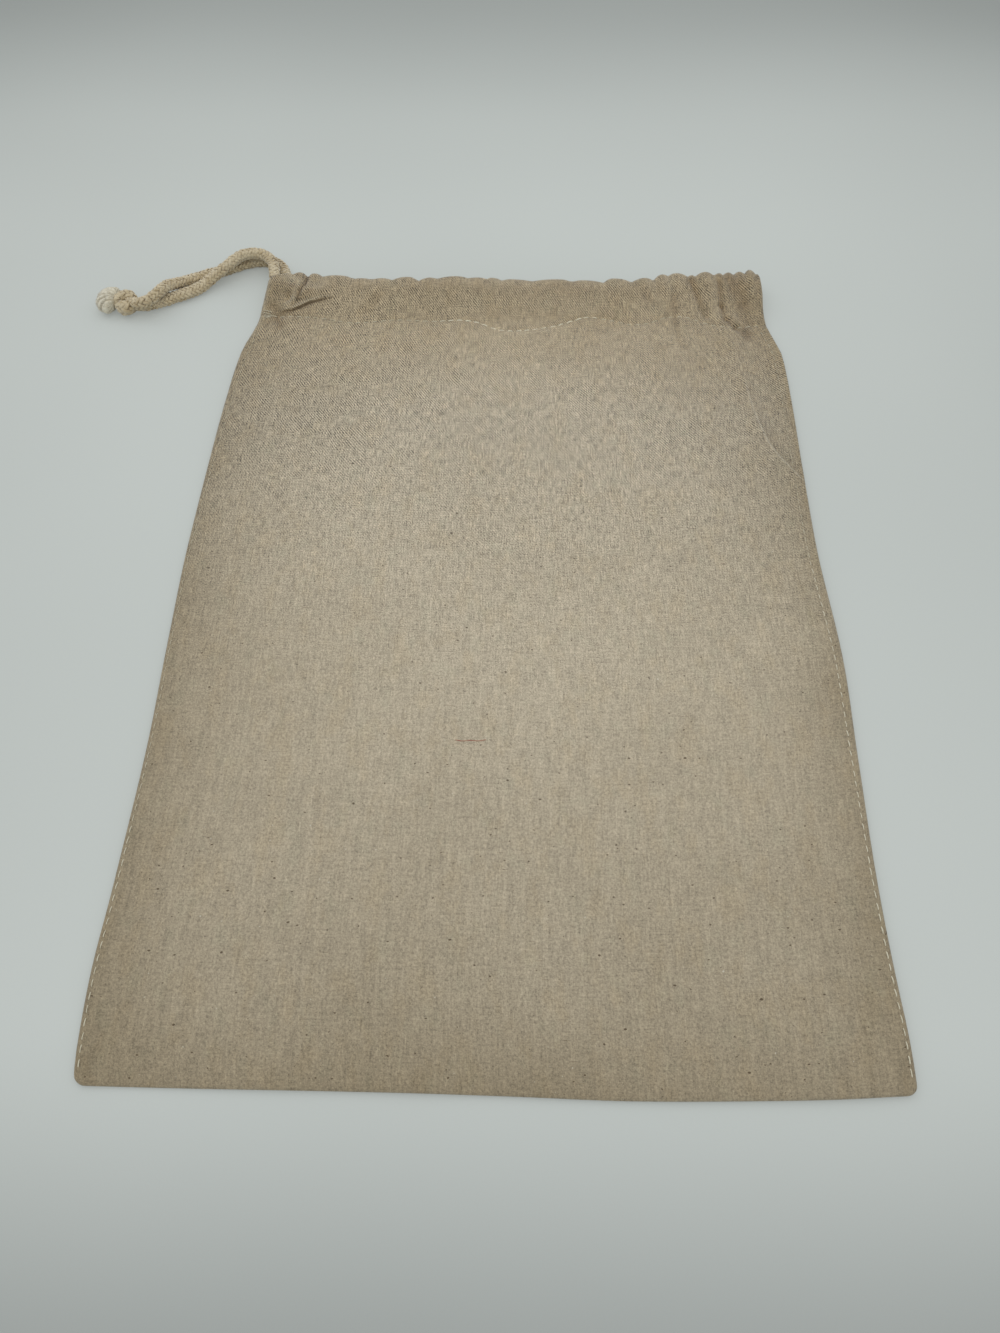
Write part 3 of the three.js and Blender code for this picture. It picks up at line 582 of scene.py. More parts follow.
def hollow_shade(x, y):
    """Painted shade: how much darker the bottoms of the folds are, and the casing below its rim; the rim
    itself gets a painted highlight.
    """
    dark = np.zeros(np.broadcast(x, y).shape)
    for _, darkness, share in fold_shares(x, y, 1.15):
        dark = dark + darkness * share
    down = level_edge(x) - y
    rim = -RIM_PAINTED_HIGHLIGHT * (1 - ease((down + 1.5) / 3.5))
    dip = DIP_PAINTED_SHADE * ease(down / 3) * (1 - ease((down - 8) / 8))
    return np.clip(dark, -0.3, 0.5) + rim + dip


def seam_inset(x, y):
    """How far in from the side the stitches of the side seam run."""
    right = 1.6 + 2.8 * ease((y - 20) / 220)
    left = 1.5 + 2.0 * ease((y - 190) / 120)
    return np.where(x > 0, right, left)


def shaped(x, y):
    """Front and back heights with the sides rounded off: each goes from the level to the middle height as a
    quarter of an ellipse over its last stretch, so that the two faces meet at the edge."""
    inset = side_inset(x, y)
    beside = inset - seam_inset(x, y)
    level = front_level(x, y)
    level = level + SEAM_PUFF * (1 - ease(beside / 2.5)) - SEAM_SINK * np.exp(-(beside / 0.8) ** 2)
    level = np.maximum(level, LEAST_FRONT)
    under = BACK_FACE + 0.10 * (1 + billow(x, y, 21, 60))
    middle = under + 0.45 * (level - under)
    rounding = EDGE_ROUND + 0.22 * (level - 2.0)
    share = np.sqrt(1 - (1 - np.clip(inset / rounding, 0, 1)) ** 2)
    return middle + (level - middle) * share, middle - (middle - under) * share


# ---- The cloth as one length: front hem, front, bottom fold, back and back hem ----
SIDE_STEPS = [0.0, 0.25, 0.6, 1.1, 1.8, 2.8, 3.6, 4.6]     # columns near a side edge, mm in from it
FINE_GAP = 0.95               # column gap where the casing is tightly gathered
COARSE_GAP = 1.75             # across its middle
FLAP_GAP = 0.65               # and round the folded flap
TOP_LEFT, TOP_RIGHT = -110.9, 119.2          # ends of the top edge
BODY_ROWS = 54
CLOSER = 0.4                  # rows of the casing are closer together in its middle by this share
CASING_ROWS = 34
ROLL_ROWS = 6
TUCK_ROWS = 3
HEM_ROWS = 7
FOLD_ROWS = 7
HEM_END = 8.0                 # the hem is followed down to this far above the casing's foot
OPEN_FRONT = -105.3           # the casing's end is open left of this on the front
OPEN_BACK = -98.7             # and left of this on the back
WEAVE_WIDTH = 0.252           # metres of weave across the cloth
JOIN = 2e-6                   # points closer than this, in metres, are one


def column_places():
    """Places across the top edge, close together at the sides and in the tight gathers."""
    inner = [TOP_LEFT + SIDE_STEPS[-1]]
    while inner[-1] < TOP_RIGHT - SIDE_STEPS[-1] - 1.0:
        here = inner[-1]
        inner.append(here + (COARSE_GAP if -74 < here < 56 else FINE_GAP if here > 0 else FLAP_GAP))
    inner = np.array(inner)
    fit = (TOP_RIGHT - TOP_LEFT - 2 * SIDE_STEPS[-1]) / (inner[-1] - inner[0])
    inner = TOP_LEFT + SIDE_STEPS[-1] + (inner - inner[0]) * fit
    left = TOP_LEFT + np.array(SIDE_STEPS[:-1])
    right = TOP_RIGHT - np.array(SIDE_STEPS[:-1])[::-1]
    return np.concatenate([left, inner, right])


def across_at(top_x, y):
    """Where a column that starts at top_x on the top edge lies at height y: it keeps its share of the width,
    but the columns beside the edges keep their distance from them."""
    share = (top_x - TOP_LEFT) / (TOP_RIGHT - TOP_LEFT)
    left, right = left_edge(y), right_edge(y)
    x = left + (right - left) * share
    near_left, near_right = top_x - TOP_LEFT, TOP_RIGHT - top_x
    x = np.where(near_left < SIDE_STEPS[-1], left + near_left, x)
    return np.where(near_right < SIDE_STEPS[-1], right - near_right, x)


def steps_after(end, rows):
    """Even steps from 0 to end as a column, without the first."""
    return np.linspace(0, end, rows + 1)[1:, None]


def turned_hem(y, z, reach, rise, mouth, end, foot):
    """From the top of a face up and over in a quarter of an ellipse, reach long and rise high, then in a
    smaller one to the mouth's height, and down inside the casing to the end's height."""
    turn, tuck = steps_after(np.pi / 2, ROLL_ROWS), steps_after(np.pi / 2, TUCK_ROWS)
    h = steps_after(1, HEM_ROWS)
    roll_y = y + reach * np.sin(turn)
    roll_z = z + rise * (1 - np.cos(turn))
    tuck_y = roll_y[-1:] - TUCK * (1 - np.cos(tuck))
    tuck_z = roll_z[-1:] + (mouth - roll_z[-1:]) * np.sin(tuck)
    hem_y = tuck_y[-1:] + (foot + HEM_END - tuck_y[-1:]) * h
    hem_z = mouth + (end - mouth) * ease(h * 1.5)
    return np.vstack([roll_y, tuck_y, hem_y]), np.vstack([roll_z, tuck_z, hem_z])


def cloth_rows(top_x):
    """Points of the ribbon, rows by columns, with the row numbers where its stretches start."""
    columns = top_x[None, :]
    from_side = np.minimum(columns - TOP_LEFT, TOP_RIGHT - columns)
    level = level_edge(columns)
    top = np.minimum(top_edge(columns), level + 3)
    foot = stitch_line(columns) - CASING_FOOT
    into_corner = np.clip(CORNER_ROUND - from_side, 0, CORNER_ROUND)
    corner = CORNER_ROUND - np.sqrt(np.maximum(CORNER_ROUND**2 - into_corner**2, 0))
    bottom = corner - smooth_read(BOTTOM_FOLD, "x", "sag", columns * 1.1)

    # The open face, from the start of the roll down to the fold.
    c = np.linspace(0, 1, CASING_ROWS + 1)[:, None]
    c = c + CLOSER * np.sin(2 * np.pi * c) / (2 * np.pi)
    smooth_top = level - ROLL
    casing_y = smooth_top + (foot - smooth_top) * c + (top - level) * (1 - ease(c / 0.35))
    body_y = foot + (bottom + FOLD_ROUND - foot) * steps_after(1, BODY_ROWS)
    flat_y = np.vstack([casing_y, body_y])
    face_x = across_at(columns, flat_y)
    front_z, back_z = shaped(face_x, flat_y)
    lip, share = line_distance(face_x, flat_y, FLAP_LIP)
    face_y = flat_y - OVERHANG * hump(share, 0.6) * ease(lip / 0.3) * (1 - ease((lip - 0.5) / 2.2))

    # Both hems, the back's roll a little lower and shallower than the front's.
    mouth = MOUTH + 1.4 * ease((-93 - columns) / 5)
    lift = np.clip(front_z[:1] - MOUTH - 0.8, 0.3, None)
    front_y, front_hem = turned_hem(face_y[:1], front_z[:1], ROLL, -lift, mouth, 1.2, foot)
    lower = 0.5 + 0.25 * np.sin(columns / 3.1) + 0.25 * np.sin(columns / 1.9 + 2)
    lift = np.clip(mouth - 1.2 - back_z[:1], 0.3, None)
    back_y, back_hem = turned_hem(face_y[:1], back_z[:1], ROLL - lower, lift, mouth - 0.5, 1.1, foot)

    # The bottom fold: half an ellipse from the front to the back.
    around = np.linspace(0, np.pi, FOLD_ROWS + 2)[1:-1, None]
    fold_y = face_y[-1:] - FOLD_ROUND * np.sin(around)
    middle, half = (front_z[-1:] + back_z[-1:]) / 2, (front_z[-1:] - back_z[-1:]) / 2
    fold_z = middle + half * np.cos(around)

    y = np.vstack([front_y[::-1], face_y, fold_y, flat_y[::-1], back_y])
    z = np.vstack([front_hem[::-1], front_z, fold_z, back_z[::-1], back_hem])
    x = across_at(columns, y)
    rolls = len(front_y)
    marks = {
        "front": rolls,
        "fold": rolls + len(face_y),
        "back_roll": rolls + 2 * len(face_y) + FOLD_ROWS,
    }
    # The hems end a little short of the side seams.
    short = np.zeros(x.shape)
    inside = HEM_ROWS + TUCK_ROWS
    short[:inside] = short[-inside:] = 0.4 * ease(1 - from_side / 3)
    x = x - np.sign(columns) * short
    return np.stack(np.broadcast_arrays(x, y, z), -1), marks


def painted_light_share(x, y, inset):
    """The share of painted light on a place of the front, the rest being painted shade: least along the
    edges, the bottom and the casing, most in the middle.
    """
    sides = 1 - 0.75 * np.exp(-np.maximum(inset, 0) / 17)
    bottom = 1 - 0.75 * np.exp(-np.maximum(y, 0) / 30)
    top = 1 - 0.22 * ease((y - 270) / 50) - 0.16 * ease((y - 322) / 10)
    middle = np.exp(-(((x - 5) / 95) ** 2) - ((y - 235) / 150) ** 2)
    return np.clip(sides * bottom * top * (0.68 + 0.42 * middle), 0, 1)


def near_line(x, y, line, here, far, ends=0.0):
    """Distance from a line, held within far, for the places that are here and beside its length: all others
    get far. Also how far along the line a place lies."""
    distance, share = line_distance(x, y, line)
    beside = here & (share > ends) & (share < 1 - ends) if ends else here
    return np.where(beside, np.clip(distance, -far, far), far), share


def make_cloth(material):
    """The ribbon as a grid of quads without the ones at the open end of the casing; equal points at the two
    sides are then joined, and the cloth gets its thickness inwards."""
    top_x = column_places()
    points, marks = cloth_rows(top_x)
    rows, columns = points.shape[:2]
    row = np.repeat(np.arange(rows - 1), columns - 1)
    across = np.tile((top_x[1:] + top_x[:-1]) / 2, rows - 1)
    open_front = (row >= HEM_ROWS) & (row < marks["front"] - 2) & (across < OPEN_FRONT)
    open_back = (row >= marks["back_roll"] + 2) & (row < rows - HEM_ROWS) & (across < OPEN_BACK)
    faces = grid_faces(rows, columns)[~(open_front | open_back)][:, ::-1]
    step = np.linalg.norm(np.diff(points, axis=0), axis=-1)
    reach = np.vstack([np.zeros((1, columns)), np.cumsum(step, axis=0)])
    reach = reach[marks["fold"] + FOLD_ROWS // 2][None] - reach
    share = (top_x - TOP_LEFT) / (TOP_RIGHT - TOP_LEFT) - 0.5
    u = np.broadcast_to(share[None] * WEAVE_WIDTH, reach.shape)
    uv = np.stack([u, reach * MM], -1).reshape(-1, 2)
    flat = points.reshape(-1, 3)
    x, y, _ = flat.T
    number = np.repeat(np.arange(rows), columns)
    front = (number >= marks["front"] - ROLL_ROWS) & (number < marks["fold"])
    crease, crease_along = near_line(x, y, LONG_CREASE, front, 30)
    lip, lip_along = near_line(x, y, FLAP_LIP, front, 20, 0.01)
    pleat, _ = near_line(x, y, PLEAT, front, 20, 0.02)
    inset = side_inset(x, y)
    piece = new_piece("bag_cloth_woven", flat, faces, material, uv, {
        "crease": crease,
        "crease_along": crease_along,
        "inset": inset,
        "up": y,
        "open": painted_light_share(x, y, inset),
        "lip": lip,
        "lip_along": lip_along,
        "pleat": pleat,
        "shade": np.where(front, hollow_shade(x, y), 0.0),
    })
    work = bmesh.new()
    work.from_mesh(piece.data)
    bmesh.ops.remove_doubles(work, verts=work.verts, dist=JOIN)
    work.to_mesh(piece.data)
    work.free()
    piece.data.update()
    thick = piece.modifiers.new("thickness", "SOLIDIFY")
    thick.thickness = CLOTH * MM
    thick.offset = -1
    thick.use_rim = True
    return piece


# ---- Stitches ----
THREAD_FULL = 0.25            # half thickness of the sewing thread where its stitches stand out
THREAD_THIN = 0.15            # and where they are sunk in the cloth
THREAD_SIDES = 6
LOWEST_THREAD = 0.25          # middle of a thread that the bag lies on
SEAM_STITCH = 2.35            # length of a stitch that shows at the side
CASING_LENGTH = 2.3           # and along the casing
TACK = np.array([             # the bar tack beside the casing's mouth: start and end of each thread
    [(-111.4, 332.2), (-107.7, 331.9)], [(-111.5, 331.2), (-107.9, 330.8)],
    [(-111.2, 330.2), (-107.6, 330.1)], [(-110.6, 328.2), (-108.6, 329.3)],
    [(-111.4, 329.3), (-108.1, 329.5)],
])
RED_FIBRE = [(-15.6, 115.0), (-13.2, 114.6), (-10.3, 114.9), (-7.5, 114.7), (-4.7, 115.2)]


def stitch_run(starts, ends, lift, rng, thick):
    """A short thread from each start to each end: it leaves the cloth steeply, lies along it and goes back
    in, so its height over the cloth is lift times 0.40 sin(pi t)^0.5 - 0.16, below the cloth at both ends.
    Gives the paths and each thread's half width."""
    t = np.linspace(0, 1, 8)[None, :, None]
    path = starts[:, None] + (ends - starts)[:, None] * t
    rise = (np.sin(np.pi * t[..., 0]) ** 0.5) * 0.40 - 0.16
    path = path + UPWARDS * (rise * lift)[..., None]
    path[..., 2] = np.maximum(path[..., 2], LOWEST_THREAD)
    return path, np.reshape(thick, (-1, 1, 1)) * (1 + rng.uniform(-0.15, 0.15, (len(starts), 1, 1)))


def on_face(x, y, face):
    """Places on the front (face 0) or the back (face 1), with their height."""
    return np.stack([x, y, shaped(x, y)[face]], -1)


def side_stitches(rng):
    """Both sides, front and back: one stitch every STITCH_PITCH up the seam. Starts, ends, and 1 or -1 for
    the face that each is on."""
    y = np.arange(5.0, 322.0, STITCH_PITCH)
    for side, edge in ((-1, left_edge), (1, right_edge)):
        for face in (0, 1):
            low = y + rng.uniform(-0.12, 0.12, len(y)) + 1.3 * face
            high = low + SEAM_STITCH + rng.uniform(-0.15, 0.15, len(y))
            pair = []
            for height, slant in ((low, -0.09), (high, 0.09)):
                inset = seam_inset(np.full(len(y), side), height) + slant + rng.normal(0, 0.04, len(y))
                pair.append(on_face(edge(height) - side * inset, height, face))
            yield *pair, np.full(len(y), 1 - 2 * face)


def casing_stitches(rng):
    """Along the casing's row, front and back, as side_stitches gives them."""
    x = np.arange(-108.0, 116.0, STITCH_PITCH)
    for face in (0, 1):
        low = x + rng.uniform(-0.12, 0.12, len(x)) + 1.4 * face
        high = low + CASING_LENGTH + rng.uniform(-0.2, 0.2, len(x))
        start = on_face(low, stitch_line(low) - 0.1, face)
        end = on_face(high, stitch_line(high) + 0.1, face)
        yield start, end, np.full(len(x), 1 - 2 * face)


def make_stitches(material):
    """All the visible thread as one piece. The seen attribute goes from 0 where a stitch is sunk in the
    cloth to 1 where it stands out."""
    rng = np.random.default_rng(12)
    rows = list(side_stitches(rng)) + list(casing_stitches(rng))
    tack = on_face(TACK[..., 0], TACK[..., 1], 0) + 0.1 * UPWARDS
    rows.append((tack[:, 0], tack[:, 1], np.ones(len(tack))))
    starts, ends, flips = (np.concatenate([row[k] for row in rows]) for k in range(3))
    x, y, _ = ((starts + ends) / 2).T
    side = np.abs(y - stitch_line(x)) > 3
    fading = np.where(x > 0, 0.5 * (1 - ease((y - 170) / 60)), 0.36 * (1 - ease((y - 60) / 60)))
    seen = np.where(side, fading, 0.3 + 0.7 * (1 - ease((np.abs(x - 7) - 26) / 20)))
    thick = THREAD_THIN + (THREAD_FULL - THREAD_THIN) * seen
    path, width = stitch_run(starts, ends, flips[:, None] * (0.72 + 0.28 * seen[:, None]), rng, thick)
    points, faces = thin_threads(path, UPWARDS, width, THREAD_SIDES, 0.8)
    shown = spread(seen[:, None, None], *path.shape[:2], THREAD_SIDES)
    return new_piece("stitching", points, faces, material, fields={"seen": shown})


def make_red_fibre(material):
    """One stray red fibre caught in the front: a thin tube along a smooth line on the cloth."""
    x, y = np.array(RED_FIBRE).T
    line, _ = even_steps(smooth_line(on_face(x, y, 0)), 0.5)
    _, level, up = level_frame(line)
    points, faces = many_tubes(line[None] + 0.05 * up[None], 0.17 * level[None], 0.10 * up[None], 6)
    return new_piece("stray_fibre", points, faces, material)


# ---- The drawstring's pieces ----
whole, _ = even_steps(smooth_line(END_A + [EXIT_A] + IN_CASING + [EXIT_B] + END_B), 0.34)
exit_a = np.argmin(np.linalg.norm(whole - EXIT_A, axis=1))
exit_b = np.argmin(np.linalg.norm(whole - EXIT_B, axis=1))
INSIDE = 22                   # steps that each free end's braid reaches into the casing
OVER_CORD = [tuple(p) for p in whole[exit_b - 75:exit_b + 1:4]]
LOWEST_KNOT = 0.15            # the knot is pressed flat below this height


def make_free_end(name, line, material, seed):
    """A braided end of the drawstring along its line."""
    line, reach = even_steps(line, 0.34)
    resting = 1 - ease((line[:, 2] - 2.85) / 1.5)
    rng = np.random.default_rng(seed)
    points, faces, uv, fields = braid(line, reach, CORD_DIAMETER / 2 + PLAIT_PROUD, rng, resting)
    return new_piece(name, points, faces, material, uv, fields)


def make_inner_cord(material):
    """The drawstring inside the casing, flattened by the cloth: a tube whose surface rises and falls as the
    braid's strands do, the larger of two crossing wave patterns."""
    line, reach = even_steps(whole[exit_a + 6:exit_b - 6], 0.75)
    _, side, other = level_frame(line)
    sides = 20
    angle = np.arange(sides) * 2 * np.pi / sides
    sweep = 16 * np.pi * reach[:, None] / BRAID_LAY
    strands = np.maximum(np.cos(angle[None] * 8 - sweep), np.cos(angle[None] * 8 + sweep))
    radius = 2.2 + 0.15 * strands
    direction = np.cos(angle)[None, :, None] * side[:, None] + np.sin(angle)[None, :, None] * other[:, None]
    points = line[:, None] + direction * radius[..., None] * (1.15, 1.1, 0.86)
    flat = np.vstack([points.reshape(-1, 3), line[:1], line[-1:]])
    uv = np.stack([np.tile(angle, len(line)), np.repeat(reach, sides)], -1)
    uv = np.vstack([uv, [[0, 0], [0, reach[-1]]]])
    fields = {"over": np.zeros(len(flat)), "tone": np.full(len(flat), 0.5)}
    return new_piece("drawstring_core_run", flat, tube_faces(len(line), sides), material, uv, fields)


def make_knot(material):
    """Each part of the knot as a braid along a smooth line through its rows, as thick as its rows say."""
    rng = np.random.default_rng(31)
    parts = []
    for rows in map(np.array, KNOT_STRANDS.values()):
        line, reach = even_steps(smooth_line(rows[:, :3]), 0.26)
        thick = np.interp(np.linspace(0, 1, len(line)), np.linspace(0, 1, len(rows)), rows[:, 3])
        parts.append(braid(line, reach, thick, rng))
    starts = np.cumsum([0] + [len(part[0]) for part in parts[:-1]])
    points = np.vstack([part[0] for part in parts])
    faces = np.vstack([part[1] + start for part, start in zip(parts, starts)])
    uv = np.vstack([part[2] for part in parts])
    fields = {name: np.concatenate([part[3][name] for part in parts]) for name in ("over", "tone")}
    points[:, 2] = np.maximum(points[:, 2], LOWEST_KNOT)
    return new_piece("drawstring_knot_tied", points, faces, material, uv, fields)


TUFT_PINCH = np.array([-180.2, 338.1, 4.6])
TUFT_HEADING = np.pi - 0.20
TUFT_LONG = 9.8
TUFT_WIDE = 7.6               # to each side
TUFT_HIGH = 4.5               # upwards and downwards
BUNCHES = 17                  # in a full turn, seen from above
BUNCH_TURN = 0.18             # the first crease, in radians to the tuft's near side
STREAKS = (61, 23)            # fine lines, in a full turn
FIBRES = 2600
FIBRE_STEPS = 9
FIBRE_HALF = 0.085            # half thickness of a fibre at the pinch
HAIR_HALF = 0.030             # and of a loose hair on the cord
BODY_REACH = 0.975            # the body ends this share of the way along the fibres
WIDEST_LEAN = 1.62            # the body's widest ring, in radians from the tuft's axis


def dome(lean):
    """How far along the tuft and how far out of its axis a fibre ends, in millimetres and as a share."""
    return TUFT_LONG * (0.36 + 0.64 * np.cos(lean)), np.maximum(np.sin(lean), 0) ** 0.8


def fan_angle(lean, around):
    """Where a fibre ends, seen from above: its angle at the pinch, from the heading to the near side."""
    along_end, out_end = dome(lean)
    return np.arctan2(TUFT_WIDE * out_end * np.cos(around), along_end)


def bunch_crease(fan):
    """1 between two bunches and 0 along the middle of one, as |sin(bunches x angle / 2)|^5; the creases
    are shallow on the far side."""
    deeper = 0.20 + 0.80 * ease((fan + 0.3) / 0.8)
    return deeper * np.abs(np.sin(BUNCHES * (fan - BUNCH_TURN) / 2 + np.pi / 2)) ** 5


def fibre_shade(lean, around, share):
    """Painted shade in the creases between the bunches and at the pinch, with fine darker streaks of fibre
    colour: 0 on the pale backs of the bunches, up to 1 in the creases and at the pinch; the streaks are a
    product of two sine waves."""
    fan = fan_angle(lean, around)
    streak = 0.5 + 0.5 * np.sin(STREAKS[0] * fan) * np.cos(STREAKS[1] * fan + 1.0)
    shade = 0.30 * streak + 0.70 * bunch_crease(fan)
    return np.maximum(shade, 1 - ease(share / 0.30))


def tuft_point(lean, around, share):
    """A place in the frayed end. A fibre leans away from the tuft's axis and lies at an angle around it; it
    starts at the pinch, swells out quickly and ends on a dome, as a curve through three points. The dome is
    lower between two bunches."""
    heading = np.array([np.cos(TUFT_HEADING), np.sin(TUFT_HEADING), 0.0])
    side = np.array([-heading[1], heading[0], 0.0])
    crease = bunch_crease(fan_angle(lean, around))
    along_end, out_end = dome(lean)
    along_end = along_end * (1 - 0.05 * crease)
    out_end = out_end * (1 - 0.10 * crease)
    along = 2 * share * (1 - share) * 0.42 * along_end + share**2 * along_end
    out = (1 - share) ** 2 * 0.25 + 2 * share * (1 - share) * (0.25 + 0.75 * out_end) + share**2 * out_end
    sideways = out * np.cos(around) * TUFT_WIDE
    up = out * np.sin(around) * TUFT_HIGH - 0.5 * share**2
    return (
        TUFT_PINCH
        + heading * along[..., None]
        + side * sideways[..., None]
        + UPWARDS * up[..., None]
    )


def make_tuft(material):
    """Frayed cotton: fine fibres in soft bunches over a closed body of the same shape, both from
    tuft_point(). The deep attribute is fibre_shade()."""
    rng = np.random.default_rng(77)
    share = np.linspace(0.0, 1.0, FIBRE_STEPS)[None]
    lean = np.arccos(1 - rng.uniform(0, 1.10, FIBRES))
    around = rng.uniform(0, 2 * np.pi, FIBRES)
    longer = 1 + rng.normal(0, 0.010, FIBRES)
    curl = rng.normal(0, 0.05, (FIBRES, 1)) * share**2
    leans, turns = lean[:, None] + curl, around[:, None] + curl * 1.5
    path = tuft_point(leans, turns, share * longer[:, None])
    path[..., 2] = np.maximum(path[..., 2], 0.2 + 0.2 * rng.uniform(0, 1, (FIBRES, 1)))
    points, faces = thin_threads(path, UPWARDS, (FIBRE_HALF * (1 - 0.3 * share))[..., None], 3)
    deep = spread(fibre_shade(leans, turns, share + 0 * leans)[..., None], FIBRES, FIBRE_STEPS, 3)
    # The body inside: out from the pinch to its widest ring, then round the dome to its tip.
    rows, sides = 44, 96
    angle = (np.arange(sides) * 2 * np.pi / sides)[None] + np.zeros((rows, 1))
    s = np.linspace(0, 1, rows)[:, None] + 0 * angle
    reach = np.where(s < 0.5, 2 * s, 1.0)
    leaning = np.where(s < 0.5, WIDEST_LEAN, WIDEST_LEAN * (2 - 2 * s) + 0.02)
    body = tuft_point(leaning, angle, reach * BODY_REACH)
    body[..., 2] = np.maximum(body[..., 2], 0.25)
    body_deep = fibre_shade(leaning, angle, reach)
    everything = np.vstack([points, body.reshape(-1, 3), body[0].mean(0), body[-1].mean(0)])
    faces = np.vstack([faces, tube_faces(rows, sides)[:, ::-1] + len(points)])
    deep = np.concatenate([deep, body_deep.ravel(), [1.0, 0.0]])
    return new_piece("drawstring_tuft_frayed", everything, faces, material, fields={"deep": deep})


def make_fuzz(line, count, seed, material, name):
    """Loose fibre ends on the cord: short hairs that leave its surface at a slant and curl."""
    rng = np.random.default_rng(seed)
    tangent, side, other = level_frame(line)
    at = rng.integers(4, len(line) - 4, count)
    angle = rng.uniform(0, 2 * np.pi, count)
    out = np.cos(angle)[:, None] * side[at] + np.sin(angle)[:, None] * other[at]
    way = tangent[at] * rng.normal(0, 1, (count, 1))
    way = unit(way + np.cross(tangent[at], out) * rng.normal(0, 1, (count, 1)))
    length = rng.uniform(0.5, 1.5, (count, 1, 1))
    t = np.linspace(0, 1, 4)[None, :, None]
    start = line[at] + out * (CORD_DIAMETER / 2 - 0.15)
    path = start[:, None] + length * (way[:, None] * t + out[:, None] * 0.55 * t * (1 - 0.5 * t))
    path[..., 2] = np.maximum(path[..., 2], 0.05)
    points, faces = thin_threads(path, out[:, None], HAIR_HALF * (1 - 0.5 * t), 3)
    return new_piece(name, points, faces, material)


# ---- Materials ----
class Value:
    """A number or colour on its way through a material; arithmetic on it adds a node."""

    def __init__(self, sheet, socket):
        self.sheet = sheet
        self.socket = socket

    def __add__(self, other):
        return self.sheet.calc("ADD", self, other)

    def __sub__(self, other):
        return self.sheet.calc("SUBTRACT", self, other)

    def __mul__(self, other):
        return self.sheet.calc("MULTIPLY", self, other)

    def __abs__(self):
        return self.sheet.calc("ABSOLUTE", self)


class Sheet:
    """A material's node graph: add() places a node, links the inputs that are Values and writes the rest."""

    def __init__(self, name):
        self.material = bpy.data.materials.new(name)
        self.material.use_nodes = True
        self.tree = self.material.node_tree
        self.tree.nodes.clear()

    def add(self, kind, inputs=None, out=0, **settings):
        """A node with its settings, its inputs by name or number, and the output to go on from."""
        node = self.tree.nodes.new("ShaderNode" + kind)
        for name, setting in settings.items():
            setattr(node, name, setting)
        for name, value in (inputs or {}).items():
            socket = node.inputs[name]
            if isinstance(value, Value):
                self.tree.links.new(value.socket, socket)
            else:
                socket.default_value = (*value, 1.0) if socket.type == "RGBA" else value
        return Value(self, node.outputs[out]) if len(node.outputs) else None

    def calc(self, operation, *values):
        """One step of arithmetic."""
        return self.add("Math", dict(enumerate(values)), operation=operation)

    def blend(self, share, a, b, kind="MIX"):
        """Colour a turned into b, or by b, as far as the share says."""
        return self.add("Mix", {0: share, 6: a, 7: b}, out=2, data_type="RGBA", blend_type=kind)

    def parts(self, vector):
        """The three numbers of a place."""
        first = self.add("SeparateXYZ", {0: vector})
        return [Value(self, socket) for socket in first.socket.node.outputs]

    def noise(self, place, scale, detail=2.0, rough=0.5):
        """Smooth random numbers around 0.5; scale is how many waves there are to a unit of the place, one
        number or one for each way across it."""
        if isinstance(scale, tuple):
            place, scale = self.add("Mapping", {"Vector": place, "Scale": (*scale, 1.0)}), 1.0
        inputs = {"Vector": place, "Scale": scale, "Detail": detail, "Roughness": rough}
        return self.add("TexNoise", inputs)

    def field(self, name):
        """A number that the piece's own mesh carries at each point."""
        return self.add("Attribute", out="Fac", attribute_name=name)

    def window(self, value, low, high):
        """Rises smoothly from 0 at low to 1 at high (or falls, where low is the larger)."""
        inputs = {
            "Value": value,
            "From Min": min(low, high),
            "From Max": max(low, high),
            "To Min": float(low > high),
            "To Max": float(low < high),
        }
        return self.add("MapRange", inputs, interpolation_type="SMOOTHSTEP")

    def dull(self, colour, height, depth, rough=0.9, sheen=0.25, strength=1.0):
        """The dull shader of all the cloth and fibre, with a bump from a height, depth metres deep."""
        bump = self.add("Bump", {"Strength": strength, "Distance": depth, "Height": height})
        return self.add("BsdfPrincipled", {
            "Base Color": colour,
            "Roughness": rough,
            "Specular IOR Level": 0.15,
            "Sheen Weight": sheen,
            "Sheen Roughness": 0.5,
            "Normal": bump,
        })

    def finish(self, shader):
        """Shows the shader and gives the material."""
        self.add("OutputMaterial", {"Surface": shader})
        return self.material


def linear(red, green, blue):
    """A colour given as 0 to 255 on screen, as the linear shares that a shader takes."""
    c = np.array([red, green, blue]) / 255.0
    return tuple(float(v) for v in np.where(c <= 0.04045, c / 12.92, ((c + 0.055) / 1.055) ** 2.4))


# Pitches of the weave, in metres, and how far its yarns wander across and along.
RIB_PITCH = 0.0023
WARP_PITCH = 0.00078
WEFT_PITCH = 0.00066
TWILL_ACROSS = 0.00124
TWILL_UP = 0.00152
WANDER_ACROSS = 0.0030
WANDER_UP = 0.0026
WEAVE_DEPTH = 0.00022         # relief of the weave
CLOTH_LOW = linear(137, 123, 98)
CLOTH_HIGH = linear(181, 168, 145)
SLUB = linear(118, 104, 80)
SPECK_AND_PAINTED_SHADE = linear(92, 78, 56)
HUSK = linear(70, 54, 36)
NEP_AND_PAINTED_HIGHLIGHT = linear(210, 203, 184)
SEAM_WARM = linear(170, 146, 102)
# Painted shade and painted highlight of the folds.
FOLD_PAINTED_DARK_SHADE = linear(88, 72, 50)
FOLD_PAINTED_HIGHLIGHT = linear(206, 198, 176)
# The next ones multiply the colour below them.
# the painted brownish shade of the folds' hollows
FOLD_PAINTED_SHADE = (0.36, 0.25, 0.14)
CLOTH_PINK = (1.0, 0.95, 0.86)
CLOTH_GREEN = (0.95, 1.0, 0.99)
CLOTH_TOP = (1.03, 0.985, 0.90)
FOOT_PAINTED_SHADE = (0.95, 0.95, 0.95)


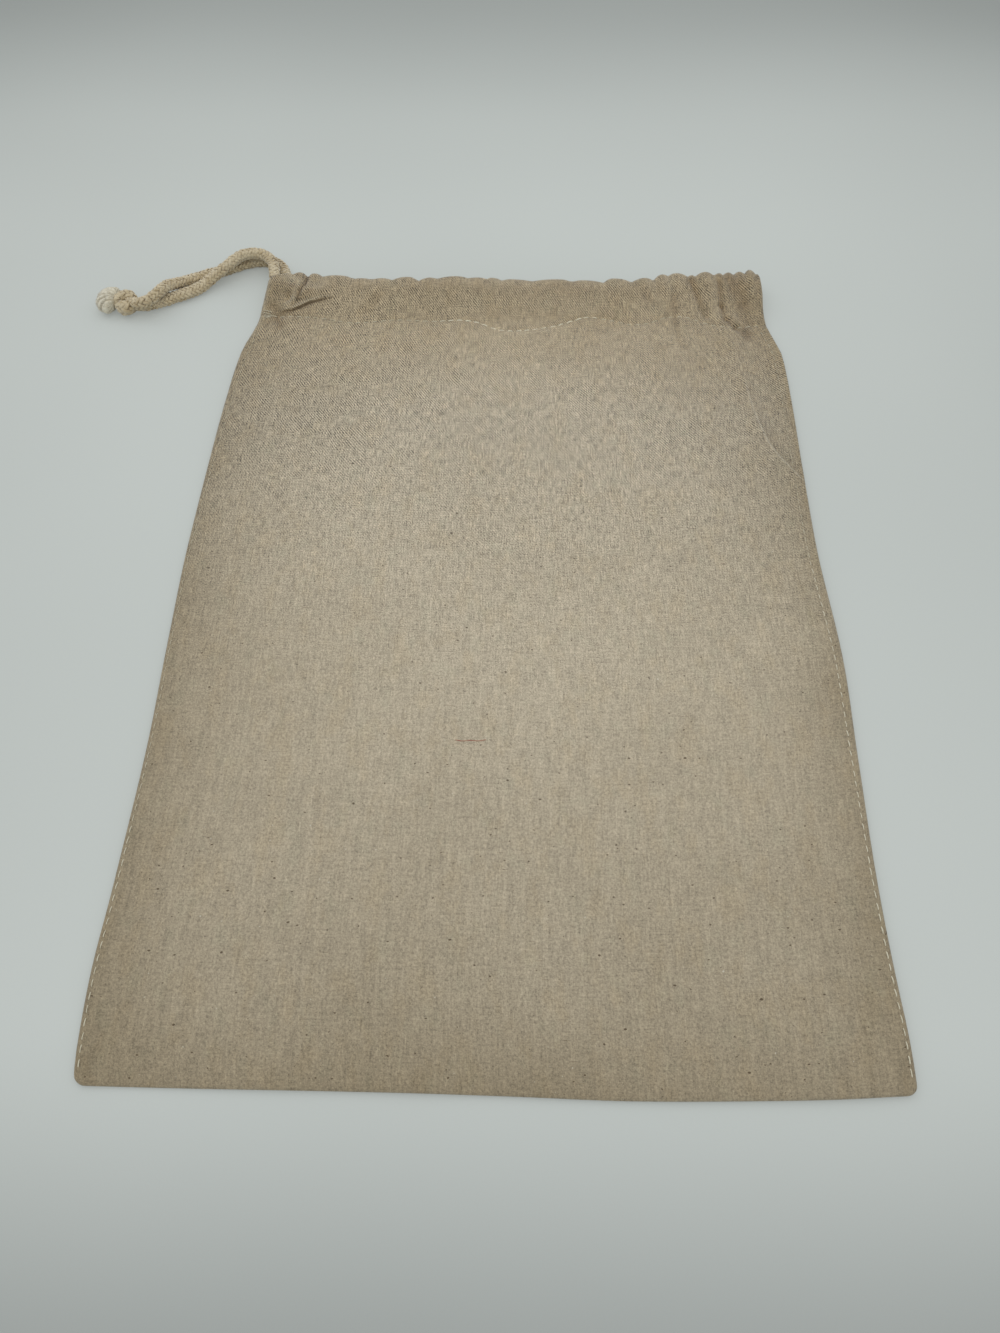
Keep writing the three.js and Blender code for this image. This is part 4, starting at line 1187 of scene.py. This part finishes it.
def woven_material():
    """Unbleached cotton with a loose diagonal weave: uneven warp ribs, fine weft, diagonal lines that show
    most near the mouth, heather, slubs and specks of seed husk; a pressed crease and a warmer side seam;
    painted shade towards the edges, the bottom and in the folds, and painted highlights on the folds' backs."""
    s = Sheet("unbleached_cotton")
    uv = s.add("UVMap", uv_map="cut")
    u, v, _ = s.parts(uv)
    place = s.add("TexCoord", out=3)
    up = s.field("up")

    def wave(turns):
        return s.calc("SINE", turns)

    def uneven(across, along, detail=2.0):
        return s.noise(uv, (across, along), detail, 0.6) - 0.5

    # The yarns wander: both directions of the weave are read at places shifted by slow noise.
    u2 = u + (s.noise(uv, (60, 14)) - 0.5) * WANDER_ACROSS
    v2 = v + (s.noise(uv, (14, 60)) - 0.5) * WANDER_UP
    ribs = wave(u2 * (TURN / RIB_PITCH))
    check = wave(u2 * (TURN / WARP_PITCH)) * wave(v2 * (TURN / WEFT_PITCH))
    twill = wave(u2 * (TURN / TWILL_ACROSS) + v2 * (TURN / TWILL_UP))
    high = s.window(up + s.noise(uv, (16, 9)) * 170.0, 250.0, 400.0)
    shown = s.window(s.noise(uv, (70, 110)), 0.28, 0.60) * s.window(s.noise(uv, (430, 390), 1.0), 0.28, 0.60)

    # The yarns' relief, which is their shade too. The fine part grows towards the mouth, the broad one fades.
    fine = broad = 0.0
    for part, share in (
        (uneven(1900, 210), 1.20),
        (uneven(190, 2100), 0.85),
        (uneven(2500, 2300, 1.0), 2.00),
        (twill * (high * 0.85 + 0.15) * shown, 0.46),
        (check * (high * -0.6 + 1.0), 0.05),
        (ribs, 0.012),
    ):
        fine = part * share + fine
    for part, share in (
        (uneven(1150, 1000, 1.0), 1.20),
        (uneven(520, 60), 0.62),
        (uneven(60, 560), 0.24),
        (uneven(260, 230), 0.36),
    ):
        broad = part * share + broad
    towards_mouth = s.window(up, 90.0, 290.0)
    height = fine * (towards_mouth * 1.16 + 0.40) + broad * (towards_mouth * -0.28 + 0.70)

    mottle = (s.noise(place, 14.0, 3.0) - 0.5) * 0.5
    # Painted shade: the colour goes from CLOTH_HIGH in the middle to CLOTH_LOW along the edges, the bottom
    # and the casing, as the open attribute falls, with random mottle on top.
    base = s.blend(s.field("open") + mottle, CLOTH_LOW, CLOTH_HIGH)
    for share, colour in (
        (s.window(s.noise(uv, (110, 55), 3.0, 0.65), 0.47, 0.66) * 0.36, CLOTH_PINK),
        (s.window(s.noise(uv, (123.5, 78), 3.0, 0.65), 0.50, 0.70) * 0.40, CLOTH_GREEN),
        (s.window(up, 262.0, 335.0), CLOTH_TOP),
        # painted shade: the cloth darker towards the bottom
        (s.window(up, 230.0, 40.0), FOOT_PAINTED_SHADE),
        (1.0, height + 1.0),
    ):
        base = s.blend(share, base, colour, "MULTIPLY")
    for share, colour in (
        (s.window(s.noise(uv, (330, 2600), 1.0), 0.70, 0.80) * 0.35, SLUB),
        (s.window(s.noise(uv, (1500, 1300), 1.0), 0.70, 0.80) * 0.45, SPECK_AND_PAINTED_SHADE),
        (s.window(s.noise(uv, 700.0, 1.0), 0.77, 0.82) * 0.55, NEP_AND_PAINTED_HIGHLIGHT),
        (s.window(s.noise(uv, (610, 900), 0.0), 0.81, 0.84) * 0.8, HUSK),
    ):
        base = s.blend(share, base, colour)

    # The pressed crease, with a painted highlight on its line and painted shade beside it, and the warmer
    # side seam.
    crease, along = s.field("crease"), s.window(s.field("crease_along"), 0.1, 0.45)
    pale = s.window(abs(crease), 0.55, 0.1) * along
    deep = s.window(crease, 0.0, 0.6) * s.window(crease, 6.0, 1.0) * along
    warm = s.window(s.field("inset"), 3.2, 1.2) * s.window(up, 150.0, 300.0)
    warm = warm * s.window(up, 335.0, 315.0) * s.window(u, 0.0, 0.05)
    base = s.blend(pale * 0.20, base, NEP_AND_PAINTED_HIGHLIGHT)
    base = s.blend(deep * 0.16, base, SPECK_AND_PAINTED_SHADE)
    base = s.blend(warm * 0.22, base, SEAM_WARM)

    # Folds: painted brownish shade in their hollows, a painted highlight on their backs, and near-black
    # painted shade just under the flap's lip and along the pleat, with a painted highlight on the lip's edge.
    fold = s.field("shade")
    base = s.blend(s.calc("MAXIMUM", fold, 0.0), base, FOLD_PAINTED_SHADE, "MULTIPLY")
    base = s.blend(s.calc("MAXIMUM", fold * -1.0, 0.0), base, FOLD_PAINTED_HIGHLIGHT)
    lip, pleat = s.field("lip"), abs(s.field("pleat"))
    ends = s.calc("POWER", wave(s.field("lip_along") * np.pi), 0.5)
    under = s.window(lip, -3.0, -0.1) * s.window(lip, 0.25, 0.0) * ends
    line = s.window(lip, -0.55, -0.2) * s.window(lip, 0.15, -0.05) * ends
    edge = s.window(lip, 0.1, 0.4) * s.window(lip, 1.3, 0.6) * ends
    base = s.blend(under * 0.22, base, FOLD_PAINTED_SHADE, "MULTIPLY")
    base = s.blend(line * 0.75, base, FOLD_PAINTED_DARK_SHADE)
    base = s.blend(edge * 0.16, base, FOLD_PAINTED_HIGHLIGHT)
    base = s.blend(s.window(pleat, 0.7, 0.1) * 0.55, base, FOLD_PAINTED_DARK_SHADE)
    base = s.blend(s.window(pleat, 2.4, 0.3) * 0.30, base, FOLD_PAINTED_SHADE, "MULTIPLY")
    return s.finish(s.dull(base, pale * 0.3 + height, WEAVE_DEPTH, strength=0.8))


YARN_DEPTH = 0.00022          # relief of the yarn, in metres
FIBRE_DEPTH = 0.0001          # and of fibre and thread
CORD_LOW = linear(184, 166, 132)
CORD_HIGH = linear(204, 188, 156)
CORD_PAINTED_SHADE = linear(122, 96, 62)
CORD_PALE = linear(212, 200, 172)
CORD_SHADE = linear(222, 218, 208)
FRAYED_SHADE_AND_STREAK = linear(158, 140, 108)
FRAYED_LOW = linear(208, 199, 175)
FRAYED_HIGH = linear(222, 215, 194)
THREAD_LOW = linear(192, 182, 156)
THREAD_HIGH = linear(224, 216, 192)
THREAD_PAINTED_SHADE = linear(162, 151, 126)
RED_DEEP = linear(150, 92, 74)
RED_FADED = linear(166, 132, 106)


def cord_material():
    """Soft cotton yarn: fine lengthwise fibres, each strand a little lighter or darker, with painted shade
    where a strand goes under and along the edges between strands."""
    s = Sheet("soft_cotton_yarn")
    uv = s.add("UVMap", uv_map="cut")
    around, _, _ = s.parts(uv)
    fibre = s.noise(uv, (11, 1.1), 3.0, 0.7)
    ply = s.noise(uv, (5, 0.25), 1.0)
    beside = abs(s.calc("COSINE", around * TURN))
    pale = s.noise(s.add("TexCoord", out=3), 160.0)
    base = s.blend(s.field("tone"), CORD_LOW, CORD_HIGH)
    base = s.blend(s.window(fibre, 0.3, 0.7), base, CORD_SHADE, "MULTIPLY")
    # Painted shade where a strand goes under and along the edges between strands.
    base = s.blend(s.window(s.field("over"), 0.3, -1.0) * 0.80, base, CORD_PAINTED_SHADE)
    base = s.blend(s.window(beside, 0.55, 1.0) * 0.75, base, CORD_PAINTED_SHADE)
    base = s.blend(s.window(pale, 0.4, 0.7) * 0.35, base, CORD_PALE)
    return s.finish(s.dull(base, fibre * 0.6 + ply * 0.6, YARN_DEPTH, sheen=0.4))


def fibre_material(name, colours, mottle, low, high, sunk=None, grain=3000.0, sheen=0.25):
    """Loose fibre and thread: two colours mixed by noise of a scale, read from low to high; sunk is a share
    of a third colour, as a function of the sheet, and that colour."""
    s = Sheet(name)
    place = s.add("TexCoord", out=3)
    base = s.blend(s.window(s.noise(place, mottle), low, high), *colours)
    if sunk:
        base = s.blend(sunk[0](s), base, sunk[1])
    return s.finish(s.dull(base, s.noise(place, grain), FIBRE_DEPTH, sheen=sheen))


def frayed_material():
    """Loose pale cotton fibre, with painted shade and darker streaks where the deep attribute says."""
    deep = (lambda s: s.field("deep") * 0.75, FRAYED_SHADE_AND_STREAK)
    colours = (FRAYED_LOW, FRAYED_HIGH)
    return fibre_material("frayed_cotton_fibre", colours, 900.0, 0.35, 0.65, deep, 4000.0, 0.4)


def thread_material():
    """Pale sewing thread with a fine twist, with painted shade where its stitches are sunk."""
    sunk = (lambda s: s.field("seen") * -0.75 + 0.75, THREAD_PAINTED_SHADE)
    return fibre_material("sewing_thread", (THREAD_LOW, THREAD_HIGH), 700.0, 0.2, 0.6, sunk)


def red_fibre_material():
    """Dyed fibre, faded in places."""
    return fibre_material("stray_red_fibre", (RED_DEEP, RED_FADED), 500.0, 0.35, 0.65)


# ---- Pieces ----
woven = woven_material()
yarn = cord_material()
cloth = make_cloth(woven)
stitching = make_stitches(thread_material())
end_a = make_free_end("drawstring_braid_a", whole[:exit_a + INSIDE], yarn, 5)
end_b = make_free_end("drawstring_braid_b", whole[exit_b - INSIDE:], yarn, 6)
inner = make_inner_cord(yarn)
knot = make_knot(yarn)
stray = make_red_fibre(red_fibre_material())
fibre = frayed_material()
tuft = make_tuft(fibre)
fuzz_a = make_fuzz(whole[:exit_a], 700, 51, fibre, "drawstring_fuzz_a")
fuzz_b = make_fuzz(whole[exit_b:], 700, 52, fibre, "drawstring_fuzz_b")

for piece, nodes in (
    (cloth, ["bag_cloth"]),
    (inner, ["drawstring_in_casing"]),
    (end_a, ["drawstring_end_a"]),
    (end_b, ["drawstring_end_b"]),
    (knot, ["drawstring_knot"]),
    (tuft, ["drawstring_tuft"]),
):
    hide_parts(*nodes)
    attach(piece, "root")
for piece in (stitching, stray, fuzz_a, fuzz_b):
    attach(piece, "root")


def run_length(line):
    """Length along a line of points, in metres."""
    return float(np.linalg.norm(np.diff(line, axis=0), axis=1).sum()) * MM


line_a, line_b = whole[:exit_a + INSIDE][::-1], whole[exit_b - INSIDE:]
for piece, line, way_out, fuzz in ((end_a, line_a, EXIT_A, fuzz_a), (end_b, line_b, EXIT_B, fuzz_b)):
    [float(c) for c in bag_place(way_out)]
    run_length(line)
    [[float(c) for c in point] for point in bag_place(line[::6])]


# ---- Floor, backdrop and light ----
FLOOR_LOW = linear(190, 194, 189)
FLOOR_HIGH = linear(194, 198, 193)
FLOOR_PAINTED_SHADE = linear(58, 61, 60)
FLOOR_HALF = 3.0              # metres from the middle to each side
BACKDROP_KEEPS = 0.4          # share of its own colour that the backdrop keeps in shadow
ROOM_COLOUR = (0.90, 0.94, 0.98, 1.0)
ROOM_LIGHT = 0.87
# Name, place, width, power, and the point that each looks at.
LIGHTS = [
    ("overhead", (0.10, 0.30, 1.15), 2.4, 4.3, (0.0, 0.0, 0.0)),
    ("far_left", (-0.9, 0.8, 0.9), 0.8, 1.6, (0.0, 0.05, 0.0)),
]


def floor_material():
    """A pale blue-grey table top with painted shade far off, close by, at both sides and in the far corners,
    and even again further out. What the camera sees of it keeps part of its own colour in the shadows."""
    s = Sheet("table_top")
    place = s.add("TexCoord", out=3)
    x, y, _ = s.parts(place)
    base = s.blend(s.window(s.noise(place, 3.0), 0.3, 0.7), FLOOR_LOW, FLOOR_HIGH)
    # Painted shade on the table top, fading out further from the bag.
    far = s.window(y, 0.20, 0.36) * 0.13 + s.window(y, 0.30, 0.46) * 0.30
    near = s.window(y, -0.155, -0.275) * 0.46
    beside = s.window(abs(x), 0.10, 0.30) * s.window(y, 0.40, 0.15) * 0.10
    corner = s.window(abs(x), 0.12, 0.50) * s.window(y, 0.12, 0.35) * 0.17
    away = s.calc("SQRT", x * x + y * y)
    base = s.blend((far + near + beside + corner) * s.window(away, 0.95, 0.50), base, FLOOR_PAINTED_SHADE)
    lit = s.dull(base, s.noise(place, 900.0), 0.00003, rough=0.8, sheen=0.0)
    own = s.add("Emission", {0: base, 1: 1.0})
    return s.finish(s.add("MixShader", {0: s.add("LightPath") * BACKDROP_KEEPS, 1: lit, 2: own}))


def add_to_stage(name, data, place=(0.0, 0.0, 0.0), aim=None):
    """An object that isn't part of the bag, turned to look at its aim if it has one."""
    thing = bpy.data.objects.new(name, data)
    thing.location = place
    if aim:
        thing.rotation_euler = (Vector(aim) - Vector(place)).to_track_quat("-Z", "Y").to_euler()
    bpy.context.scene.collection.objects.link(thing)


def make_stage():
    """The table top under a wide soft light from above and a weaker one from the far left."""
    mesh = bpy.data.meshes.new("table_top")
    corners = [(x * FLOOR_HALF, y * FLOOR_HALF, 0) for x, y in ((-1, -1), (1, -1), (1, 1), (-1, 1))]
    mesh.from_pydata(corners, [], [(0, 1, 2, 3)])
    mesh.materials.append(floor_material())
    add_to_stage("table_top", mesh)
    for name, place, width, power, aim in LIGHTS:
        data = bpy.data.lights.new(name, "AREA")
        data.shape = "DISK"
        data.size = width
        data.energy = power
        add_to_stage(name, data, place, aim)
    world = bpy.data.worlds.new("room")
    world.use_nodes = True
    sky = world.node_tree.nodes["Background"]
    sky.inputs[0].default_value = ROOM_COLOUR
    sky.inputs[1].default_value = ROOM_LIGHT
    bpy.context.scene.world = world


make_stage()
bpy.context.scene.view_settings.view_transform = "Standard"
